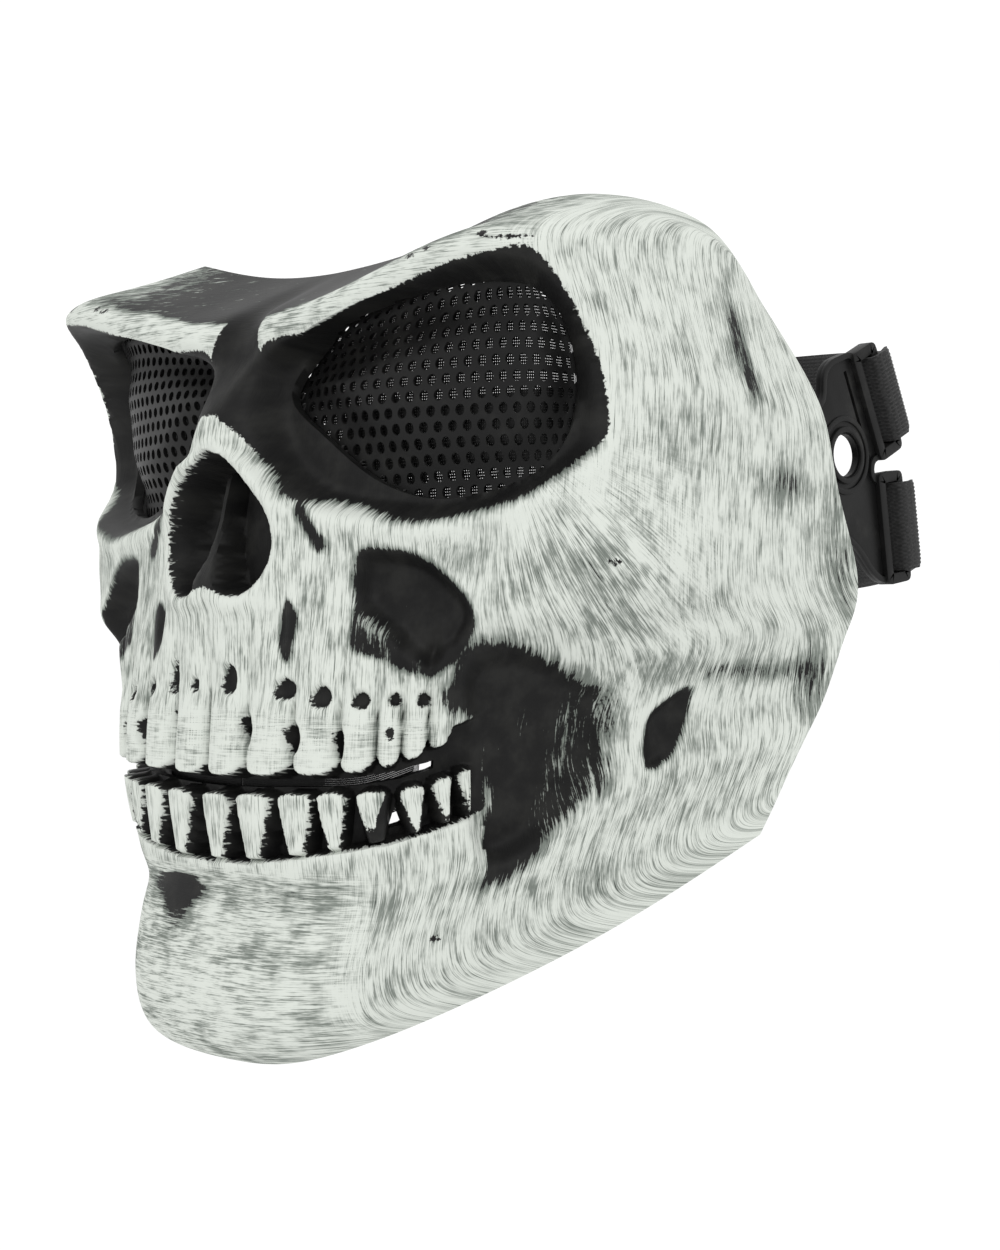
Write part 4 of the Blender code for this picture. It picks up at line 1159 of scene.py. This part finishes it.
def flat_start(outline, x):
    """A filled circle, its points moved on to an outline across the mask's side."""
    deselect()
    bpy.ops.mesh.primitive_circle_add(vertices=len(outline), radius=0.01, fill_type="NGON")
    obj = bpy.context.active_object
    for point, (y, z) in zip(obj.data.vertices, outline):
        point.co = metres((x, y, z))
    return obj


def raise_and_bevel(obj, height, bevel, rim=0.0):
    """Extrudes a flat start along X, as a plate or as a rim of one width, and rounds its edges."""
    choose(obj)
    bpy.ops.object.mode_set(mode="EDIT")
    bpy.ops.mesh.select_all(action="SELECT")
    if rim:
        bpy.ops.mesh.inset(thickness=rim * MM, use_even_offset=True)
        bpy.ops.mesh.delete(type="FACE")
        bpy.ops.mesh.select_all(action="SELECT")
    bpy.ops.mesh.extrude_region_move(TRANSFORM_OT_translate={"value": (height * MM, 0, 0)})
    bpy.ops.mesh.select_all(action="SELECT")
    bpy.ops.mesh.normals_make_consistent(inside=False)
    bpy.ops.object.mode_set(mode="OBJECT")
    if bevel:
        edges = obj.modifiers.new("round_edges", "BEVEL")
        edges.width = bevel * MM
        edges.segments = 2
        edges.limit_method = "ANGLE"
        edges.angle_limit = math.radians(40)
        bpy.ops.object.modifier_apply(modifier=edges.name)
    return obj


def cut(obj, cutter):
    """Cuts one object with another, which is then removed."""
    change = obj.modifiers.new("cut", "BOOLEAN")
    change.operation = "DIFFERENCE"
    change.solver = "EXACT"
    change.object = cutter
    choose(obj)
    bpy.ops.object.modifier_apply(modifier=change.name)
    bpy.data.objects.remove(cutter)


def rounded(corners, radius, steps=4):
    """An outline with each corner turned in short steps."""
    table = np.array(corners, float)
    out = []
    for i, here in enumerate(table):
        before, after = table[i - 1] - here, table[(i + 1) % len(table)] - here
        reach = min(radius, 0.45 * np.linalg.norm(before), 0.45 * np.linalg.norm(after))
        start = here + before / np.linalg.norm(before) * reach
        end = here + after / np.linalg.norm(after) * reach
        for k in range(steps + 1):
            t = k / steps
            out.append(tuple(start * (1 - t) ** 2 + here * 2 * t * (1 - t) + end * t * t))
    return out


def round_outline(y, z, radius, sides=36):
    """A circle about a place given back and up."""
    turn = [2 * math.pi * i / sides for i in range(sides)]
    return [(y + radius * math.cos(t), z + radius * math.sin(t)) for t in turn]


def loop_outline(loop):
    """The outside of a loop frame."""
    length, depth = LOOPS[loop][3:]
    ends = ((0, 0), (depth, 0), (depth, length), (0, length))
    return rounded([loop_place(loop, r, b) for r, b in ends], LOOP_CORNER)


def joined(parts, name, mirror):
    """Joins plain solids under one name, turned over for the right side, and shades them smooth."""
    whole = parts[0]
    choose(whole)
    for part in parts:
        part.select_set(True)
    bpy.ops.object.join()
    whole.name = name
    if mirror:
        whole.data.transform(Matrix.Diagonal((-1, 1, 1, 1)))
        whole.data.flip_normals()
    whole.data.update()
    smooth(whole, 40)
    return whole


def build_anchor(name, node_name, mirror, sizes):
    """One temple anchor: a plate with a lip, a ringed eye, two strap loops and a groove."""
    back = PLATE_FACE - PLATE_THICK
    lip = sizes.lip / MM
    flat = PLATE_FACE - lip
    plate = flat_start(rounded(PLATE_OUTLINE, PLATE_CORNER, 3), back)
    raise_and_bevel(plate, PLATE_THICK - lip, 0.3)
    for y, z, radius in (PLATE_EYE, (*RIVET_AT, RIVET_SHANK + GAP)):
        hole = flat_start(round_outline(y, z, radius), back - 2)
        raise_and_bevel(hole, PLATE_THICK + 4, 0)
        cut(plate, hole)
    line = flat_start([loop_place("upper", r, b) for r, b in GROOVE], flat - GROOVE_DEPTH)
    raise_and_bevel(line, 3, 0)
    cut(plate, line)
    rim = flat_start(rounded(PLATE_OUTLINE, PLATE_CORNER, 3), flat - 0.2)
    parts = [plate, raise_and_bevel(rim, lip + 0.2, 0.25, RIM_WIDTH)]
    eye_y, eye_z, eye_radius = PLATE_EYE
    for reach, height in EYE_RINGS:
        eye_ring = flat_start(round_outline(eye_y, eye_z, eye_radius + reach), flat - 0.1)
        parts.append(raise_and_bevel(eye_ring, height, 0.25, RIM_WIDTH))
    middle = (PLATE_FACE + back) / 2
    for loop in LOOPS:
        frame_ring = flat_start(loop_outline(loop), middle - FRAME_THICK / 2)
        parts.append(raise_and_bevel(frame_ring, FRAME_THICK, 0.5, BAR))
    anchor = joined(parts, name, mirror)
    finish_piece(anchor, "black_plastic", node_name)
    return anchor


def build_rivet(name, node_name, mirror):
    """A domed rivet head inside the shell with its shank through the anchor."""
    back = PLATE_FACE - PLATE_THICK - GAP
    head = flat_start(round_outline(*RIVET_AT, RIVET_HEAD), back - RIVET_HEAD_TALL)
    raise_and_bevel(head, RIVET_HEAD_TALL, 0.6)
    start = back - RIVET_HEAD_TALL / 2
    shank = flat_start(round_outline(*RIVET_AT, RIVET_SHANK), start)
    raise_and_bevel(shank, PLATE_FACE + RIVET_TIP - start, 0.4)
    rivet = joined([head, shank], name, mirror)
    finish_piece(rivet, "rivet_steel", node_name)
    return rivet


def strap_line(loop):
    """Middle line of one strap: points and width directions, from the left tail to the right tail."""
    foot, rear, bar = loop_axes(loop)
    length, depth = LOOPS[loop][3:]
    middle = PLATE_FACE - PLATE_THICK / 2
    clear = GAP + STRAP_THICK / 2
    inside = middle - FRAME_THICK / 2 - clear
    outside = middle + FRAME_THICK / 2 + clear
    turn = depth - BAR - clear
    corner = ((depth - BAR + 0.3, 0.0), (turn + 0.15, 0.45), (turn, 1.3))
    local = [(depth + STRAP_TAIL, inside)]
    local += [(r, inside + x) for r, x in corner]
    local += [(r, outside - x) for r, x in reversed(corner)]
    local += [(depth + 1.6, outside), (depth + 3.8, outside - 1.4)]
    points, wide = [], []
    for r, x in local:
        y, z = foot + rear * r + bar * (length / 2)
        points.append((x, y, z))
        wide.append((0, bar[0], bar[1]))
    start = np.array(points[-1])
    goal = np.array([0.0, *STRAP_BACK[loop]])
    first = start + np.array(STRAP_LEAVES)
    second = np.array([STRAP_ARRIVES, goal[1], goal[2]])
    for k in range(1, STRAP_STEPS + 1):
        t = k / STRAP_STEPS
        spot = start * (1 - t) ** 3 + first * 3 * t * (1 - t) ** 2
        spot = spot + second * 3 * t * t * (1 - t) + goal * t ** 3
        lean = np.array([0, bar[0] * (1 - ease(k / STRAP_LEAN_STEPS)), bar[1]])
        points.append(tuple(spot))
        wide.append(tuple(lean / np.linalg.norm(lean)))
    for point, lean in list(zip(points, wide))[-2::-1]:
        points.append((-point[0], point[1], point[2]))
        wide.append(lean)
    return np.array(points), np.array(wide)


def finer(rows, steps):
    """A line with further points between its own, joined straight."""
    at = np.arange(0, len(rows) - 1 + 1e-9, 1 / steps)
    return np.stack([np.interp(at, np.arange(len(rows)), column) for column in rows.T], axis=-1)


def build_strap(loop, sizes):
    """Ribbed webbing along one strap's line, through both anchors and round the back."""
    line, wide = strap_line(loop)
    line, wide = finer(line, 3), finer(wide, 3)
    ahead = np.gradient(line, axis=0)
    out = np.cross(ahead, wide)
    out = out / np.linalg.norm(out, axis=1, keepdims=True)
    run = running(np.linalg.norm(np.diff(line, axis=0), axis=1))
    width, thick = sizes.width / MM, sizes.thickness / MM
    across = np.linspace(-0.5, 0.5, 4 * sizes.ribs + 1)
    swell = thick / 2 * (0.82 + 0.18 * np.cos(2 * math.pi * across * sizes.ribs))
    swell = swell * (1 - 0.55 * np.abs(2 * across) ** 14)
    loop_across = np.concatenate([across, across[::-1]])
    loop_out = np.concatenate([swell, -swell[::-1]])
    points = (line[:, None] + wide[:, None] * (loop_across * width)[None, :, None]
              + out[:, None] * loop_out[None, :, None])
    count = len(loop_across)
    faces = []
    for i in range(len(line) - 1):
        for k in range(count):
            j = (k + 1) % count
            faces.append((i * count + k, i * count + j, (i + 1) * count + j, (i + 1) * count + k))
    last = (len(line) - 1) * count
    faces.append(tuple(range(count - 1, -1, -1)))
    faces.append(tuple(range(last, last + count)))
    strap = mesh_object("webbing_" + loop, points.reshape(-1, 3), faces)
    places = np.stack([np.tile(loop_across * width, len(line)), np.repeat(run, count)], axis=-1)
    flat_map(strap, "weave", places)
    drop_loose(strap)
    smooth(strap, 60)
    finish_piece(strap, "black_webbing", "strap_" + loop)
    return strap


def woven_black(straps):
    """Black elastic webbing: long ribs crossed by fine threads."""
    made, tree, shader = fresh_material("woven_black")
    weave = node(tree, "UVMap", uv_map="weave").outputs[0]
    rib = 100 * straps.ribs / (straps.width / MM)
    threads = stretched_noise(tree, weave, (rib * 0.9, 140), 0.0, detail=2.0)
    crossing = node(tree, "TexChecker", in_Scale=1.0)
    fit = node(tree, "Mapping")
    fit.inputs["Scale"].default_value = (rib * 2, 120, 1)
    join(tree, weave, fit.inputs["Vector"])
    join(tree, fit.outputs[0], crossing.inputs["Vector"])
    checks = maths(tree, "MULTIPLY", crossing.outputs["Fac"], 0.2)
    both = total(tree, checks, maths(tree, "MULTIPLY", threads, 0.7))
    colour = mix(tree, "RGBA", smooth_step(tree, both, 0.2, 0.95), straps.deep, straps.thread)
    join(tree, colour, shader.inputs["Base Color"])
    raise_surface(tree, shader, both, 0.6, 0.00025)
    shader.inputs["Roughness"].default_value = 0.85
    shader.inputs["Specular IOR Level"].default_value = 0.3
    shader.inputs["Sheen Weight"].default_value = 0.15
    return made


def colour_property(name, value, about):
    """A colour to set."""
    return bpy.props.FloatVectorProperty(
        name=name, description=about, default=value, size=3, min=0, max=1, subtype="COLOR")


def number_property(name, value, about):
    """A number to set."""
    return bpy.props.FloatProperty(name=name, description=about, default=value)


def length_property(name, value, about):
    """A length in metres to set."""
    return bpy.props.FloatProperty(name=name, description=about, default=value, unit="LENGTH", precision=4)


class MaskShellSettings(bpy.types.PropertyGroup):
    columns: bpy.props.IntProperty(name="Columns", description="Cells across the face", default=330)
    rows: bpy.props.IntProperty(name="Rows", description="Cells up the face", default=262)
    wall: length_property("Wall", WALL * MM, "Thickness of the moulded shell")
    kept_share: bpy.props.FloatProperty(
        name="Faces kept", description="Share of the faces kept when the back is thinned out",
        default=0.57, min=0.5, max=1, subtype="FACTOR")


class MaskPaintSettings(bpy.types.PropertyGroup):
    full_paint: colour_property("Full paint", (0.60, 0.63, 0.585), "Where the bone paint lies thick")
    thin_paint: colour_property("Thin paint", (0.16, 0.18, 0.16), "Where the base shows through the paint")
    bare: colour_property("Bare plastic", (0.007, 0.007, 0.007), "The black base")
    # Lighter patches of the bare black plastic: painted sheen.
    bare_sheen: colour_property("Rubbed plastic", (0.016, 0.016, 0.015), "The base where it is rubbed")
    bare_roughness: number_property("Base roughness", 0.5, "Satin of the base")
    paint_roughness: number_property("Paint roughness", 0.8, "Chalk of the paint")


class MaskEyeSettings(bpy.types.PropertyGroup):
    pitch: length_property("Pitch", 0.0033, "Distance between neighbouring holes")
    hole: length_property("Hole", 0.0021, "Width of a hole")
    thickness: length_property("Thickness", 0.0009, "Thickness of the steel sheet")
    # The fine screen is a dark sheet of painted shade behind the eye sheet and the mouth.
    shade_screen_pitch: length_property("Screen pitch", 0.0005, "Distance between threads of the fine screen")
    shade_screen_thread: length_property("Screen thread", 0.00035, "Width of a thread of the fine screen")
    flange: length_property("Flange", 0.0030, "How far the sheet runs on behind the shell")
    colour: colour_property("Colour", (0.007, 0.007, 0.007), "The black steel")
    # Lighter colour in cloudy patches of the steel: painted sheen.
    worn: colour_property("Rubbed colour", (0.016, 0.016, 0.015), "The steel where it is rubbed")


class MaskAnchorSettings(bpy.types.PropertyGroup):
    lip: length_property("Lip", 0.0007, "Height of the lip round the plate")
    colour: colour_property("Colour", (0.006, 0.006, 0.006), "The black plastic")
    # Lighter colour in cloudy patches of the plastic: painted sheen.
    worn: colour_property("Rubbed colour", (0.02, 0.02, 0.019), "The plastic where it is rubbed")
    rivet: colour_property("Rivet", (0.25, 0.25, 0.26), "The rivet's steel")


class MaskStrapSettings(bpy.types.PropertyGroup):
    width: length_property("Width", STRAP_WIDE * MM, "Width of the webbing")
    thickness: length_property("Thickness", STRAP_THICK * MM, "Thickness of the webbing")
    ribs: bpy.props.IntProperty(name="Ribs", description="Ribs across the webbing", default=22)
    deep: colour_property("Deep threads", (0.004, 0.004, 0.004), "Threads between the ribs")
    thread: colour_property("Threads", (0.03, 0.03, 0.03), "Threads on the ribs")


class MaskStudioSettings(bpy.types.PropertyGroup):
    floor_level: length_property("Floor level", -0.40, "Height of the floor under the worn mask")
    floor_colour: colour_property("Floor", (0.93, 0.93, 0.93), "The pale floor")
    sky: number_property("Room light", 1.1, "Strength of the even light")
    key: number_property("Key light", 3.6, "Power of the soft key light")
    fill: number_property("Fill light", 0.8, "Power of the soft fill light")


class MASK_OT_shell(bpy.types.Operator):
    """Builds the painted shell"""
    bl_idname = "mask.shell"
    bl_label = "Painted shell"

    def execute(self, context):
        build_shell(context.scene.mask_shell, context.scene.mask_paint)
        return {"FINISHED"}


class MASK_OT_eye_sheets(bpy.types.Operator):
    """Builds the pierced sheet behind each eye, and the fine dark screens of painted shade behind it and the
    mouth
    """
    bl_idname = "mask.eye_sheets"
    bl_label = "Eye sheets"

    def execute(self, context):
        sizes = context.scene.mask_eyes
        steel = satin_black("black_steel_sheet", sizes.colour, sizes.worn, 0.42, 2500.0)
        for side, mirror in (("left", False), ("right", True)):
            node_name = "eye_mesh_" + side
            pieces = [build_eye_sheet("pierced_sheet_" + side, node_name, mirror, sizes)]
            # Each eye gets dark screens of painted shade behind its sheet and behind its half of the mouth.
            for name, pattern in SHADE_SCREENS.items():
                pieces.append(build_shade_screen(name + side, node_name, mirror, sizes, *pattern))
            for piece in pieces:
                piece.data.materials.append(steel)
        return {"FINISHED"}


class MASK_OT_anchors(bpy.types.Operator):
    """Builds the anchor and rivet at each temple"""
    bl_idname = "mask.anchors"
    bl_label = "Anchors and rivets"

    def execute(self, context):
        sizes = context.scene.mask_anchors
        plastic = satin_black("moulded_black", sizes.colour, sizes.worn, 0.45, 1800.0)
        steel = satin_black("rivet_metal", sizes.rivet, sizes.rivet, 0.35, 1200.0)
        steel.node_tree.nodes["Principled BSDF"].inputs["Metallic"].default_value = 1.0
        for side, mirror in (("left", False), ("right", True)):
            anchor = build_anchor("anchor_" + side, "strap_anchor_" + side, mirror, sizes)
            anchor.data.materials.append(plastic)
            rivet = build_rivet("rivet_" + side, "anchor_rivet_" + side, mirror)
            rivet.data.materials.append(steel)
        return {"FINISHED"}


class MASK_OT_straps(bpy.types.Operator):
    """Builds the two head straps"""
    bl_idname = "mask.straps"
    bl_label = "Head straps"

    def execute(self, context):
        sizes = context.scene.mask_straps
        webbing = woven_black(sizes)
        for loop in LOOPS:
            build_strap(loop, sizes).data.materials.append(webbing)
        return {"FINISHED"}


def soft_light(name, place, aim, size, power):
    """A square soft light that looks at a place."""
    deselect()
    bpy.ops.object.light_add(type="AREA", location=place)
    light = bpy.context.active_object
    light.name = name
    light.data.size = size
    light.data.energy = power
    light.rotation_euler = (Vector(aim) - Vector(place)).to_track_quat("-Z", "Y").to_euler()


class MASK_OT_studio(bpy.types.Operator):
    """Builds the floor, the lights and the camera"""
    bl_idname = "mask.studio"
    bl_label = "Studio"

    def execute(self, context):
        sizes = context.scene.mask_studio
        deselect()
        bpy.ops.mesh.primitive_plane_add(size=60, location=(0, 0, sizes.floor_level))
        floor = context.active_object
        floor.name = "floor"
        pale, _, shader = fresh_material("pale_floor")
        shader.inputs["Base Color"].default_value = (*sizes.floor_colour, 1)
        shader.inputs["Roughness"].default_value = 0.9
        shader.inputs["Specular IOR Level"].default_value = 0.0
        floor.data.materials.append(pale)
        world = bpy.data.worlds.new("studio")
        world.use_nodes = True
        room = world.node_tree.nodes["Background"]
        room.inputs["Color"].default_value = (1, 1, 1, 1)
        room.inputs["Strength"].default_value = sizes.sky
        context.scene.world = world
        context.scene.view_settings.view_transform = "Standard"
        middle = (0, 0, -0.05)
        soft_light("key", place=(0.9, -0.5, 0.7), aim=middle, size=0.8, power=sizes.key)
        soft_light("fill", place=(-0.5, -1.1, 0.3), aim=middle, size=1.0, power=sizes.fill)
        spot = metres((VIEW_DISTANCE * math.sin(VIEW_TURN), -VIEW_DISTANCE * math.cos(VIEW_TURN), 0))
        bpy.ops.object.camera_add(location=tuple(spot), rotation=(math.radians(90), 0, VIEW_TURN))
        camera = context.active_object
        camera.data.sensor_fit = "VERTICAL"
        camera.data.sensor_height = SENSOR
        camera.data.lens = SENSOR * VIEW_ZOOM / VIEW_TALL
        camera.data.shift_y = VIEW_RAISE / VIEW_TALL
        context.scene.camera = camera
        return {"FINISHED"}


OPERATORS = (MASK_OT_shell, MASK_OT_eye_sheets, MASK_OT_anchors, MASK_OT_straps, MASK_OT_studio)
SETTINGS = {
    "mask_shell": MaskShellSettings,
    "mask_paint": MaskPaintSettings,
    "mask_eyes": MaskEyeSettings,
    "mask_anchors": MaskAnchorSettings,
    "mask_straps": MaskStrapSettings,
    "mask_studio": MaskStudioSettings,
}


class MASK_PT_panel(bpy.types.Panel):
    """Lists the settings and the steps"""
    bl_idname = "MASK_PT_panel"
    bl_label = "Skull mask"
    bl_space_type = "VIEW_3D"
    bl_region_type = "UI"
    bl_category = "Mask"

    def draw(self, context):
        for operator in OPERATORS:
            self.layout.operator(operator.bl_idname)
        for key, settings in SETTINGS.items():
            box = self.layout.box()
            box.label(text=key.replace("_", " ").capitalize())
            for name in settings.__annotations__:
                box.prop(getattr(context.scene, key), name)


def register():
    """Adds the settings, the steps and the panel to Blender."""
    for key, settings in SETTINGS.items():
        bpy.utils.register_class(settings)
        setattr(bpy.types.Scene, key, bpy.props.PointerProperty(type=settings))
    for kind in (*OPERATORS, MASK_PT_panel):
        bpy.utils.register_class(kind)


def unregister():
    """Takes them away again."""
    for kind in (MASK_PT_panel, *reversed(OPERATORS)):
        bpy.utils.unregister_class(kind)
    for key, settings in SETTINGS.items():
        delattr(bpy.types.Scene, key)
        bpy.utils.unregister_class(settings)


def main():
    """Builds the mask and its studio."""
    register()
    bpy.ops.mask.shell()
    bpy.ops.mask.eye_sheets()
    bpy.ops.mask.anchors()
    bpy.ops.mask.straps()
    bpy.ops.mask.studio()


if __name__ == "__main__":
    main()
